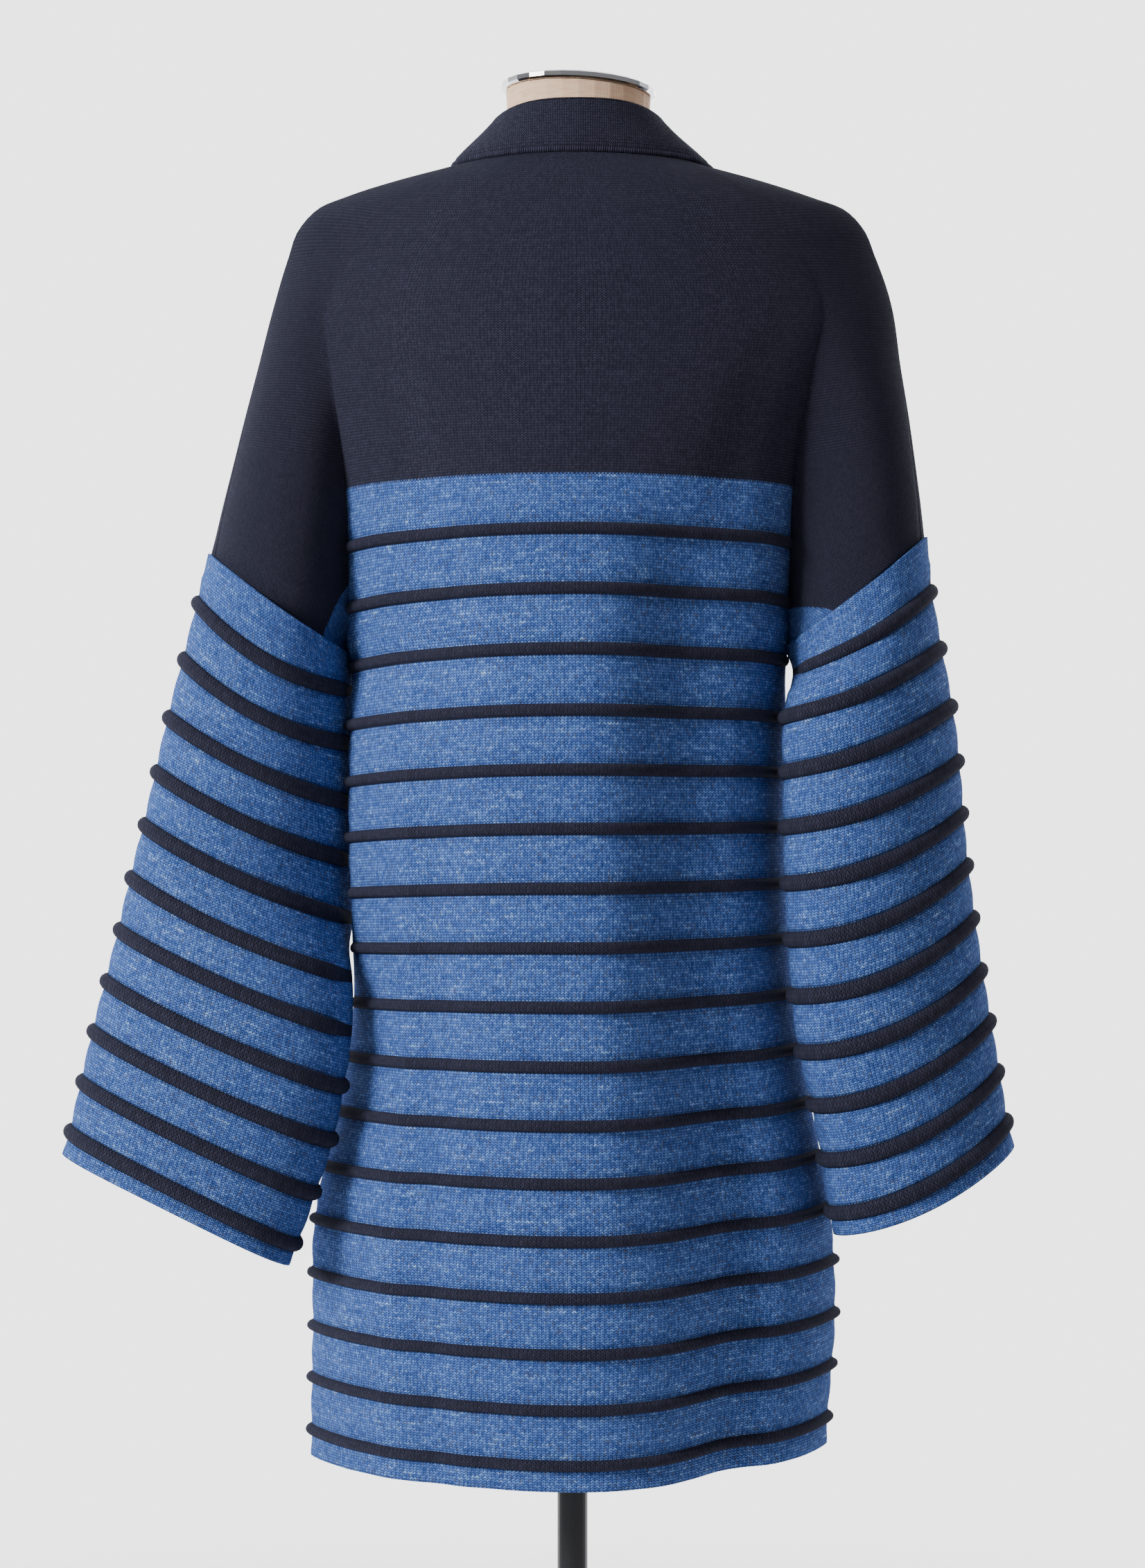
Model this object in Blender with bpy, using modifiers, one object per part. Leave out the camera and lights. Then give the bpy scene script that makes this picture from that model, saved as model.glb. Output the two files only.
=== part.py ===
"""A long knitted cardigan with dropped shoulders and bell sleeves, worn by a limbless dress form.

Frame: metres, +Z up, the origin on the floor under the middle of the base, the open front towards -Y.
The tables are in millimetres; the meshes are scaled to metres as they are made. Left is the wearer's
left, at +X. Rows of the knitting are counted in welts: row 1 is the first raised welt on the body,
row 17 the last, and the yoke above them runs up through row 0, where the blue begins, to row -6.
"""

import bmesh
import bpy
import numpy as np

MM = 0.001

# Driving sizes of the cloth.
WALL = 2.4
SEAM_GAP = 0.36
WELT_HEIGHT = 4.2
WELT_HALF = 3.8
WELT_CREST_HALF = 1.7
WELTS_ON_BODY = 17
WELTS_ON_SLEEVE = 11
TOP_ROW = -6.0
UNDERARM_ROW = 2.75
HEM_ROW = 17.47
CUFF_ROW = 11.45
RIDGE_SEAM = 1.84
CREASE_ROW = -2.5
CREASE_WALL = 3.8
SEAM_WALL = 0.1
SIDE_ROUNDNESS = 1.5
# Where a body welt dies away towards its side line, as shares of the arch, and where it doesn't:
# between two rows on the left of the back, and below a row on both sides.
WELT_FADE_FROM = 0.84
WELT_FADE_OVER = 0.11
OPEN_SIDE_ROWS = (3.5, 6.6)
OPEN_BELOW_ROW = 12.2
# Where a sleeve's welt dies away beside the body: the angle of its inner edge, how far to each side
# of it the welt is flat and over how many degrees it grows, and down to which row.
INNER_EDGE_DEGREES = 188
FLAT_DEGREES = 24
GROWING_DEGREES = 20
HIDDEN_ABOVE_ROW = {"left": 7.5, "right": 1.5}

# Driving sizes of the stand.
BASE_RADIUS = 170.0
BASE_THICK = 10.0
POLE_RADIUS = 10.5
COLLAR_RADIUS = 24.0
COLLAR_HEIGHT = 34.0
FORM_BOTTOM = 790.0
FORM_MIDDLE = -4.0
HUB_RADIUS = 24.0
HUB_FLOOR = 6.0
HUB_TOP = 34.0
GAP = 0.3
# The neck plate's rim: how far each ring lies above the neck and outside it.
PLATE_RIM = ((0.0, 1.8), (1.2, 3.5), (4.2, 3.5), (5.4, 1.8))

# How finely each piece is divided.
YOKE_ROWS = (-5.8, -5.5, -5.2, -5.0, -4.75, -4.5, -4.3, -4.1, -3.8, -3.4, -2.8, -2.1, -1.3, -0.4)
END_SHARE = 0.965
END_SHARE_ABOVE = 0.9
BACK_STEPS = 8
FRONT_STEPS = 5
ARM_STEPS = 7
WRAP_STEPS = 2
BAND_STEPS = 3
FORM_STEPS = 28
TURN_STEPS = 32
BODY_PITCH = 38.1
SLEEVE_PITCH = 38.0

# Colours, linear.
NAVY_KNIT = (0.014, 0.017, 0.035)
BLUE_KNIT = (0.062, 0.145, 0.370)
LINEN = (0.52, 0.36, 0.22)
CHROME = (0.75, 0.76, 0.78)
DARK_METAL = (0.05, 0.05, 0.055)

# The body, row by row: the height and depth of the middle of the back, the depth of the front,
# and for each side the half width, how far the row rises there, and the depth of its side line
# on the back and on the front. Above the underarm the side line is the fold between back and arm.
BODY_COLUMNS = (
    "row", "height", "back", "front",
    "half_left", "rise_left", "back_left", "front_left",
    "half_right", "rise_right", "back_right", "front_right",
)
BODY_ROWS = (
    (-6.0, 1449.5, 62, -46, 62, 0, 40, -20, 74, 0, 40, -20),
    (-5.5, 1433.0, 75, -72, 92, 5, 52, -34, 94, 6, 52, -30),
    (-5.0, 1414.0, 85, -88, 116, 10, 60, -46, 118, 11, 60, -42),
    (-4.0, 1376.0, 99, -108, 150, 8, 66, -60, 152, 8, 68, -56),
    (-3.0, 1338.6, 107, -122, 166, 6, 66, -64, 168, 6, 70, -58),
    (-2.0, 1301.0, 112, -130, 163, 5, 58, -58, 161, 5, 63, -50),
    (-1.0, 1264.0, 115, -134, 158, 3, 47, -48, 154, 3, 53, -40),
    (0.0, 1227.0, 117, -136, 154, 0, 35, -38, 149, 0, 44, -28),
    (1.0, 1189.7, 118, -137, 153.5, -2, 22, -32, 148, -1, 35, -14),
    (2.0, 1150.5, 118.5, -137.5, 155, -3, 3, -28, 147.5, -1, 24, 2),
    (2.75, 1121.0, 119, -138, 158, -3, -21.8, -22.2, 148, -1, 16.2, 15.8),
    (2.95, 1113.0, 119, -138, 155.5, -3, -18.8, -19.2, 147, -1, 14.7, 14.3),
    (4.0, 1071.0, 119.5, -138, 154.5, -4, -3.8, -4.2, 147, 0, 8.2, 7.8),
    (6.0, 993.4, 120.5, -138.5, 154.5, -4, 1.2, 0.8, 147, 3, 2.2, 1.8),
    (7.5, 935.0, 121.5, -139, 153.5, -3, -6.8, -7.2, 148.5, 4, 2.2, 1.8),
    (9.0, 877.0, 123, -139, 153, -2, -19.8, -20.2, 153, 6, 3.2, 2.8),
    (10.0, 838.2, 124, -139.5, 157, -1, -21.8, -22.2, 158, 7, 5.2, 4.8),
    (11.0, 800.0, 125, -140, 163, 0, -13.8, -14.2, 164, 8, 5.2, 4.8),
    (12.0, 762.5, 125.5, -140.2, 172, 0, -5.8, -6.2, 171, 9, 5.2, 4.8),
    (13.0, 725.1, 126, -140.5, 178, 1, 0.2, -0.2, 177, 10, 5.2, 4.8),
    (15.0, 652.0, 127, -141, 179, 1, 5.2, 4.8, 181, 10, 5.2, 4.8),
    (17.0, 580.3, 128, -142, 180, 1, 5.2, 4.8, 176, 10, 5.2, 4.8),
    (17.5, 562.5, 128, -142, 180, 0, 5.2, 4.8, 175, 8, 5.2, 4.8),
)

# The dropped shoulder, row by row down to the armhole seam: its outer edge, how deep it bulges,
# how far round it turns in to the fold, how strong that fold is, and how much a row sags.
ARM_COLUMNS = (
    "row", "out_left", "up_left", "deep_left", "out_right", "up_right", "deep_right",
    "bulge", "turn", "fold", "sag",
)
ARM_ROWS = (
    (-6.0, 86, 1449, 12, 101, 1447, 12, 50, 80, 0.0, 0),
    (-5.5, 124, 1441, 8, 133, 1440.5, 8, 58, 85, 0.0, 0),
    (-5.0, 157, 1431.5, 5, 168, 1430, 6, 64, 90, 0.0, 0),
    (-4.6, 178, 1422.5, 3, 190, 1421.5, 5, 68, 92, 0.0, 0),
    (-4.3, 190.5, 1408, 2, 202, 1408, 5, 70, 94, 0.02, 0),
    (-4.0, 196.5, 1391, 1, 208.5, 1392, 5, 72, 96, 0.05, 0),
    (-3.0, 208, 1352, 0, 220.5, 1355, 6, 74, 104, 0.22, 0),
    (-2.0, 217.5, 1314, -1, 226, 1314, 8, 72, 116, 0.5, 0),
    (-1.0, 227, 1277, -2, 231, 1280, 10, 69, 130, 0.78, -2),
    (0.0, 235, 1245, -3, 235, 1249, 12, 66, 142, 0.95, -5),
    (1.0, 242, 1218, -4, 238, 1224, 14, 64, 155, 1.0, -8),
    (2.0, 247, 1197, -4, 240, 1206, 15, 62, 170, 1.0, -11),
    (2.75, 250, 1185.5, -4, 241, 1195, 16, 62, 180, 1.0, -12),
)

# The sleeves, row by row: the outer and the inner point of a row, how far it bulges to the back and
# to the front, and how far its middle rises above a straight line.
SLEEVE_COLUMNS = (
    "row", "out", "out_up", "out_deep", "in", "in_up", "in_deep", "bulge_back", "bulge_front", "bow",
)
SLEEVE_ROWS = {
    "left": (
        (0.0, 250.0, 1185.5, -4, 158.0, 1118, -22, 62, 62, -12),
        (1.0, 257.5, 1151.5, -3, 155.5, 1092, -30, 60, 58, -14),
        (3.0, 277.0, 1072.0, 2, 153.5, 1013, -34, 59, 56, -8),
        (5.0, 293.0, 998.0, 8, 156.0, 933, -29, 57, 54, -6),
        (5.5, 297.2, 980.0, 10, 157.5, 913, -10, 56, 54, -6),
        (6.0, 301.5, 961.5, 12, 154.0, 893, 9, 55, 53, -5),
        (7.0, 309.0, 926.0, 17, 153.0, 857, 25, 53, 52, -3),
        (8.0, 317.0, 891.0, 22, 158.0, 820, 34, 52, 51, -2),
        (9.0, 325.0, 857.0, 27, 165.0, 784, 37, 51, 50, -1),
        (10.0, 332.0, 823.0, 32, 176.0, 749, 44, 50, 49, 1),
        (11.0, 339.0, 789.5, 37, 188.0, 715, 50, 49, 48, 3),
        (11.5, 343.5, 772.5, 39, 194.0, 700, 53, 49, 48, 4),
    ),
    "right": (
        (0.0, 241.0, 1195.0, 16, 148.0, 1120, 16, 62, 62, -12),
        (1.0, 243.5, 1157.0, 20, 152.5, 1101, 30, 60, 57, -8),
        (2.0, 250.0, 1118.0, 22, 146.5, 1069, 50, 59, 57, -8),
        (3.0, 257.0, 1078.5, 24, 144.5, 1032.5, 55, 58, 56, -8),
        (6.0, 267.5, 970.5, 26, 147.5, 920, 55, 55, 54, -11),
        (8.0, 277.0, 899.0, 28, 155.0, 845, 54, 52, 52, -11),
        (9.0, 282.7, 864.5, 28, 163.5, 809, 50, 51, 51, -10),
        (10.0, 288.5, 830.0, 29, 171.0, 772, 45, 50, 50, -10),
        (11.0, 294.0, 796.0, 30, 176.0, 736, 45, 49, 49, -9),
        (11.5, 298.5, 777.0, 30, 180.0, 719.5, 45, 49, 49, -8),
    ),
}

# Where each front meets the band, row by row, as distances from the middle of the frame.
EDGE_COLUMNS = ("row", "left", "right")
FRONT_EDGE = (
    (-6.0, 84, 98), (-5.5, 88, 97), (-5.0, 87, 90), (-4.0, 80, 81), (-3.0, 73, 73), (-2.0, 68, 68),
    (-1.0, 66, 66), (0.0, 65, 65), (4.0, 66, 66), (9.0, 71, 71), (13.0, 75, 75), (17.5, 79, 79),
)
BAND_WIDTH = 40.0
BAND_WALL = 3.6
BAND_LIFT = 0.7
BAND_GAP = 0.5
BAND_PROUD = 0.6

# The free edge of the band where it stands round the neck: against a distance from the middle along
# the back's top edge, then against a row down the front. Each is half a width from the form's
# middle, a depth and a height, with how far the band is dished between its edges. Below the last
# of them the band lies flat on from the front.
NECK_BAND_BACK = (
    (0, (0, 50.5, 1488), 0),
    (24, (24, 46, 1488), 0),
    (46, (42, 33, 1487), 1),
    (66, (53, 15, 1484), 1.5),
    (82, (55, 4, 1482), 1.5),
)
NECK_BAND_FRONT = (
    (-6.0, (55.5, -4, 1479), 1.5),
    (-5.7, (55.5, -20, 1470), 2),
    (-5.35, (55, -38, 1457), 2),
    (-5.0, (53, -58, 1438), 1.5),
    (-4.6, (51, -80, 1414), 1),
)
BAND_ROWS = (-4.1, -3.5, -2.8, -2.1, -1.3, -0.4, 0.6, 2.0, 4.0, 6.0, 8.0, 10.0, 12.0, 14.0, 16.0, HEM_ROW)

# Soft folds of the body: where each starts and ends across the back or front (a share of the half
# width, left positive), the rows it runs between, its width in those shares and its height.
FOLDS = {
    "back": (
        (0.80, 0.60, 3.5, 17.6, 0.10, 2.8),
        (0.66, 0.46, 4.5, 17.6, 0.09, -2.4),
        (-0.42, -0.36, 7.0, 17.6, 0.12, 4.2),
        (-0.66, -0.60, 8.0, 17.6, 0.12, -3.4),
        (0.14, 0.10, 9.0, 17.6, 0.14, 2.0),
        (-0.48, -0.52, -0.4, 17.6, 0.20, -7.0),
        (-0.10, -0.08, 0.0, 17.6, 0.12, 2.2),
    ),
    "front": (
        (0.78, 0.70, 1.0, 17.6, 0.10, 4.2),
        (0.60, 0.55, 3.0, 17.6, 0.08, -3.2),
        (-0.74, -0.68, 2.0, 17.6, 0.10, 3.8),
        (-0.57, -0.52, 4.0, 17.6, 0.08, -3.4),
    ),
}

# The linen form, level by level: half width, depth of back and of front, and how it leans sideways.
FORM_LEVELS = (
    (790, 142, 90, 92, 0),
    (850, 138, 91, 94, 0),
    (910, 135, 90, 92, 0),
    (970, 130, 86, 85, 0),
    (1030, 120, 78, 78, 0),
    (1080, 114, 74, 75, 0),
    (1130, 119, 80, 86, 0),
    (1180, 129, 92, 107, 0),
    (1225, 136, 102, 122, 0),
    (1265, 142, 106, 126, 0),
    (1305, 150, 105, 116, 0),
    (1345, 160, 100, 98, 0.002),
    (1375, 170, 92, 76, 0.005),
    (1400, 173, 80, 56, 0.010),
    (1416, 166, 66, 43, 0.008),
    (1427.5, 148, 57, 39, 0.006),
    (1437, 122, 53, 34, 0.006),
    (1441.6, 94, 51, 33, 0.006),
    (1445, 68, 48, 38, 0.015),
    (1460, 53, 44, 43, 0.03),
    (1478, 48.5, 42.5, 43, 0.045),
    (1503, 50, 43, 44, 0.052),
)


def column(columns, rows, name, at):
    """One column of a table, read at any row: a cubic through the rows, its slopes by differences."""
    keys = np.array([row[0] for row in rows], float)
    values = np.array([row[columns.index(name)] for row in rows], float)
    slopes = np.gradient(values, keys)
    at = np.clip(at, keys[0], keys[-1])
    i = np.clip(np.searchsorted(keys, at, side="right") - 1, 0, len(keys) - 2)
    step = keys[i + 1] - keys[i]
    s = (at - keys[i]) / step
    return (
        (2 * s**3 - 3 * s**2 + 1) * values[i]
        + (s**3 - 2 * s**2 + s) * step * slopes[i]
        + (3 * s**2 - 2 * s**3) * values[i + 1]
        + (s**3 - s**2) * step * slopes[i + 1]
    )


def body(name, at):
    return column(BODY_COLUMNS, BODY_ROWS, name, at)


def arm(name, at):
    return column(ARM_COLUMNS, ARM_ROWS, name, at)


def fold_height(face, share, row):
    """The folds added up: each a bell across the cloth, fading in over two rows from its top."""
    height = np.zeros(np.broadcast(share, row).shape)
    for start, end, top, bottom, width, rise in FOLDS[face]:
        along = np.clip((row - top) / (bottom - top), 0, 1)
        middle = start + (end - start) * along
        grown = np.clip((row - top) / 3.0, 0, 1)
        height += rise * grown**2 * (3 - 2 * grown) * np.exp(-(((share - middle) / width) ** 2))
    return height


def body_point(side, face, across, row):
    """A point on the outside of the body or the dropped shoulder.

    across runs from 0, the middle of the back or front, to 1, the side line, and on to 2, the outer
    edge of the dropped shoulder. Up to 1 it is an arch over an angle: x is the half width times its
    sine, y falls from the middle to the side line with a power of its cosine. From 1 to 2 it is the
    arm's own arch, which turns in to the fold; above the fold both melt into one plain arch."""
    left = 1 if side == "left" else -1
    middle = body(face, row)
    half = body("half_" + side, row)
    height = body("height", row)
    rise = body("rise_" + side, row)
    line = body(face + "_" + side, row)
    angle = np.clip(across, 0, 1) * np.pi / 2
    x_in = half * np.sin(angle)
    y_in = line + (middle - line) * np.maximum(np.cos(angle), 0) ** SIDE_ROUNDNESS
    z_in = height + rise * np.sin(angle) ** 2
    out, up, deep = (arm(name + "_" + side, row) for name in ("out", "up", "deep"))
    turn = np.radians(arm("turn", row))
    angle = turn * (2 - np.clip(across, 1, 2))
    toward = (1 - np.cos(angle)) / (1 - np.cos(turn))
    back_or_front = 1 if face == "back" else -1
    bulge = back_or_front * arm("bulge", row)
    x_arm = out + (half - out) * toward
    slip = line - deep - bulge * np.sin(turn)
    y_arm = deep + bulge * np.sin(angle) + slip * toward
    z_arm = up + (height + rise - up) * toward + arm("sag", row) * 4 * toward * (1 - toward)
    x = np.where(across <= 1, x_in, x_arm)
    y = np.where(across <= 1, y_in, y_arm)
    z = np.where(across <= 1, z_in, z_arm)
    plain = deep + (middle - deep) * np.maximum(1 - (x / out) ** 2, 0) ** (SIDE_ROUNDNESS / 2)
    fold = np.where(row < UNDERARM_ROW, arm("fold", row), 1.0)
    y = plain + (y - plain) * fold
    y = y + back_or_front * fold_height(face, left * x / half, row)
    return np.stack([left * x, y, z], -1)


def sleeve_point(side, around, row):
    """A point on the outside of a sleeve: around is an angle from its outer edge over the back.

    A line that bows joins the row's outer and inner points, by the cosine of the angle, and the
    sine of the angle swings it to the back and then to the front."""
    left = 1 if side == "left" else -1
    get = {n: column(SLEEVE_COLUMNS, SLEEVE_ROWS[side], n, row) for n in SLEEVE_COLUMNS[1:]}
    toward = (1 - np.cos(around)) / 2
    swing = np.sin(around)
    x = get["out"] + (get["in"] - get["out"]) * toward
    y = get["out_deep"] + (get["in_deep"] - get["out_deep"]) * toward
    y = y + np.where(swing > 0, get["bulge_back"], get["bulge_front"]) * swing
    z = get["out_up"] + (get["in_up"] - get["out_up"]) * toward + get["bow"] * 4 * toward * (1 - toward)
    return np.stack([left * x, y, z], -1)


def soft(share):
    """A step from 0 to 1 with no corners."""
    share = np.clip(share, 0, 1)
    return share * share * (3 - 2 * share)


def front_edge(side, row):
    columns = dict(zip(EDGE_COLUMNS, zip(*FRONT_EDGE)))
    return np.interp(row, columns["row"], columns[side])


def across_at(side, row, x):
    """Where a distance from the middle lies on a row: body_point's arches, solved for across."""
    half, out = body("half_" + side, row), arm("out_" + side, row)
    turn = np.radians(arm("turn", row))
    toward = np.clip((out - x) / (out - half), 0, 1)
    on_arm = 2 - np.arccos(1 - toward * (1 - np.cos(turn))) / turn
    on_body = np.arcsin(np.clip(x / half, 0, 1)) * 2 / np.pi
    return np.where(x < half, on_body, on_arm)


def normals(function, turned, first, second):
    """Unit normals of a surface: the cross product of its two directions, turned to face out."""
    step = 0.002
    along = function(first + step, second) - function(first - step, second)
    down = function(first, second + step) - function(first, second - step)
    cross = np.cross(along, down) * turned
    return cross / np.linalg.norm(cross, axis=-1, keepdims=True)


def sleeve_normals(side, around, rows):
    turned = -1 if side == "left" else 1
    return normals(lambda a, r: sleeve_point(side, a, r), turned, around, rows)


def body_sheet(side, face, across, rows, welts):
    """Outer and inner points of a stretch of the body, with its welts raised."""
    left = 1 if side == "left" else -1
    turned = left * (1 if face == "back" else -1)
    across = np.clip(across, 0.001, 1.997)
    base = body_point(side, face, across, rows)
    reach = np.where(rows < UNDERARM_ROW, across, np.minimum(across, 0.997))
    out = normals(lambda a, r: body_point(side, face, a, r), turned, reach, rows)
    seam = (rows > UNDERARM_ROW - 0.01) & (rows < UNDERARM_ROW) & (across > 0.999)
    facing = 1 if face == "back" else -1
    sleeve_out = sleeve_normals(side, facing * np.pi * (2 - np.maximum(across, 1)), 0 * rows + 0.006)
    out = np.where(seam[..., None], sleeve_out, out)
    crease = (np.abs(across - 1) < 0.001) & (rows > CREASE_ROW) & (rows < UNDERARM_ROW)
    out = np.where(crease[..., None], (0, facing, 0), out)
    thick = np.where(crease, np.where(seam, SEAM_WALL, CREASE_WALL), WALL)
    beside = (rows > OPEN_SIDE_ROWS[0]) & (rows < OPEN_SIDE_ROWS[1]) & (side == "left") & (face == "back")
    dying = 1 - soft((across - WELT_FADE_FROM) / WELT_FADE_OVER)
    fade = np.where(beside | (rows > OPEN_BELOW_ROW), 1.0, dying)
    return base + out * (WELT_HEIGHT * welts * fade)[..., None], base - out * thick[..., None]


def row_list(first_rows, first_welt, last_welt, pitch, last_row, finer=()):
    """Rows down a piece: their places, welt heights, and whether the inner wall has them too."""
    rows = [(row, 0, True) for row in first_rows]
    foot, crest = WELT_HALF / pitch, WELT_CREST_HALF / pitch
    for welt in range(first_welt, last_welt + 1):
        rows += [(welt - foot, 0, True), (welt - crest, 1, False)]
        rows += [(welt + crest, 1, False), (welt + foot, 0, welt in finer)]
    rows.append((last_row, 0, True))
    return rows


def wall(name, outer, inner, kept, cells, closed, colour):
    """A closed wall from two grids of points: squares where cells is true, and strips round the
    edges that fan from each inner point to the outer points beside it."""
    count = outer.shape[1]
    span = count if closed else count - 1
    inside = outer.shape[0] * count
    faces = []
    for i in range(len(kept) - 1):
        for j in range(span):
            if cells[i, j]:
                k = (j + 1) % count
                faces.append((i * count + j, (i + 1) * count + j, (i + 1) * count + k, i * count + k))
    ends = {(a, b) for face in faces for a, b in zip(face, face[1:] + face[:1])}
    following = {a: b for a, b in ends if (b, a) not in ends}
    levels = [i for i, keep in enumerate(kept) if keep]
    for i, below in zip(levels, levels[1:]):
        for j in range(span):
            if cells[i, j]:
                k = (j + 1) % count
                corners = (i * count + j, i * count + k, below * count + k, below * count + j)
                faces.append(tuple(inside + corner for corner in corners))
    while following:
        start = next(a for a in following if kept[a // count])
        here, partner = start, start
        while here in following:
            after = following.pop(here)
            faces.append((after, here, inside + partner))
            if kept[after // count]:
                faces.append((after, inside + partner, inside + after))
                partner = after
            here = after
    used = sorted({corner for face in faces for corner in face})
    number = {corner: i for i, corner in enumerate(used)}
    points = np.concatenate([outer.reshape(-1, 3), inner.reshape(-1, 3)])[used]
    return node(name, points, [tuple(number[c] for c in face) for face in faces], colour, 0.9)


def node(name, points, faces, colour, roughness, metallic=0.0):
    """An object of the model from points in millimetres, with a material of its own."""
    mesh = bpy.data.meshes.new(name)
    mesh.from_pydata((np.asarray(points) * MM).tolist(), [], faces)
    work = bmesh.new()
    work.from_mesh(mesh)
    bmesh.ops.recalc_face_normals(work, faces=work.faces)
    work.to_mesh(mesh)
    work.free()
    thing = bpy.data.objects.new(name, mesh)
    parts.objects.link(thing)
    finish(thing, colour, roughness, metallic)
    return thing


def finish(thing, colour, roughness, metallic=0.0):
    """A material named for the piece."""
    material = bpy.data.materials.new(thing.name)
    material.use_nodes = True
    shader = material.node_tree.nodes["Principled BSDF"]
    shader.inputs["Base Color"].default_value = (*colour, 1)
    shader.inputs["Roughness"].default_value = roughness
    shader.inputs["Metallic"].default_value = metallic
    thing.data.materials.clear()
    thing.data.materials.append(material)


def body_rows(top):
    rows = row_list((top,) + YOKE_ROWS, 1, 2, BODY_PITCH, UNDERARM_ROW - 0.006, (1, 2))
    return rows + row_list((), 3, WELTS_ON_BODY, BODY_PITCH, HEM_ROW, (3, 4))


def arm_across():
    """Columns over the dropped shoulder, from the fold to the seam along its top."""
    return np.linspace(1, RIDGE_SEAM, ARM_STEPS + 1)


def make_back():
    rows = body_rows(TOP_ROW)
    places = np.array([row for row, _, _ in rows])
    welts = np.array([welt for _, welt, _ in rows])
    last = np.where(places < UNDERARM_ROW, END_SHARE_ABOVE, END_SHARE)
    across = np.concatenate([np.linspace(0, 1, BACK_STEPS), 0 * arm_across()])[None] * last[:, None]
    across[:, BACK_STEPS:] = arm_across()
    across[:, -1] -= 0.0015
    grid = across, np.repeat(places[:, None], across.shape[1], 1)
    height = np.repeat(welts[:, None], across.shape[1], 1).astype(float)
    height[:, -1] = 0
    height[places > UNDERARM_ROW, BACK_STEPS] = 0
    halves = [body_sheet(side, "back", *grid, height) for side in ("right", "left")]
    outer = np.concatenate([halves[0][0][:, :0:-1], halves[1][0]], 1)
    inner = np.concatenate([halves[0][1][:, :0:-1], halves[1][1]], 1)
    cells = np.ones((len(rows) - 1, outer.shape[1] - 1), bool)
    below = places[:-1] > UNDERARM_ROW - 0.01
    cells[np.ix_(below, np.r_[0:ARM_STEPS, cells.shape[1] - ARM_STEPS : cells.shape[1]])] = False
    wall("back_panel", outer, inner, [keep for _, _, keep in rows], cells, False, BLUE_KNIT)


def make_front(side):
    """A front: from the band's seam to the fold or side line, over the arm and round its top."""
    rows = body_rows(TOP_ROW)
    places = np.array([row for row, _, _ in rows])
    welts = np.array([welt for _, welt, _ in rows], float)
    first = across_at(side, places, front_edge(side, places) + SEAM_GAP / 2)
    beside = across_at(side, places, front_edge(side, places) + 6)
    beside = np.minimum(beside, first + 0.25 * (2 - first))
    fold = np.maximum(1, first + 0.3 * (2 - first))
    last = np.where(places < UNDERARM_ROW, END_SHARE_ABOVE, END_SHARE)
    share = np.append(np.linspace(0, 1, FRONT_STEPS) * last[:, None], np.ones((len(rows), 1)), 1)
    on_body = beside[:, None] + (fold - beside)[:, None] * share
    on_arm = fold[:, None] + (2 - fold)[:, None] * np.linspace(0, 1, ARM_STEPS + 1)[1:]
    across = np.concatenate([first[:, None], on_body, on_arm], 1)
    grid = np.repeat(places[:, None], across.shape[1], 1)
    height = np.repeat(welts[:, None], across.shape[1], 1)
    height[:, 0] = 0
    height[places > UNDERARM_ROW, FRONT_STEPS + 1] = 0
    outer, inner = body_sheet(side, "front", across, grid, height)
    wrap = np.linspace(2, RIDGE_SEAM + 0.0015, WRAP_STEPS + 1)[1:]
    wrap, grid = np.meshgrid(wrap, places)
    more = body_sheet(side, "back", wrap, grid, 0 * grid)
    outer, inner = np.concatenate([outer, more[0]], 1), np.concatenate([inner, more[1]], 1)
    cells = np.ones((len(rows) - 1, outer.shape[1] - 1), bool)
    below = places[:-1] > UNDERARM_ROW - 0.01
    cells[np.ix_(below, np.arange(FRONT_STEPS + 1, cells.shape[1]))] = False
    wall(side + "_front", outer, inner, [keep for _, _, keep in rows], cells, False, BLUE_KNIT)


def make_sleeve(side):
    rows = row_list((0.006,), 1, WELTS_ON_SLEEVE, SLEEVE_PITCH, CUFF_ROW)
    places = np.array([row for row, _, _ in rows])
    welts = np.array([welt for _, welt, _ in rows], float)
    over = np.pi * (2 - arm_across())
    wrap = np.pi * (2 - np.linspace(RIDGE_SEAM, 2, WRAP_STEPS + 1)[1:])
    under = -np.pi * np.linspace(0, 1, ARM_STEPS + 1)[1:-1]
    around, grid = np.meshgrid(np.concatenate([over, wrap, under]), places)
    base = sleeve_point(side, around, grid)
    out = sleeve_normals(side, around, grid)
    from_inner = np.abs(np.degrees(around) % 360 - INNER_EDGE_DEGREES)
    growing = soft((from_inner - FLAT_DEGREES) / GROWING_DEGREES)
    fade = np.where(grid < HIDDEN_ABOVE_ROW[side], growing, 1.0)
    outer = base + out * (WELT_HEIGHT * welts[:, None] * fade)[..., None]
    cells = np.ones((len(rows) - 1, outer.shape[1]), bool)
    kept = [keep for _, _, keep in rows]
    wall(side + "_sleeve", outer, base - out * WALL, kept, cells, True, BLUE_KNIT)


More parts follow.
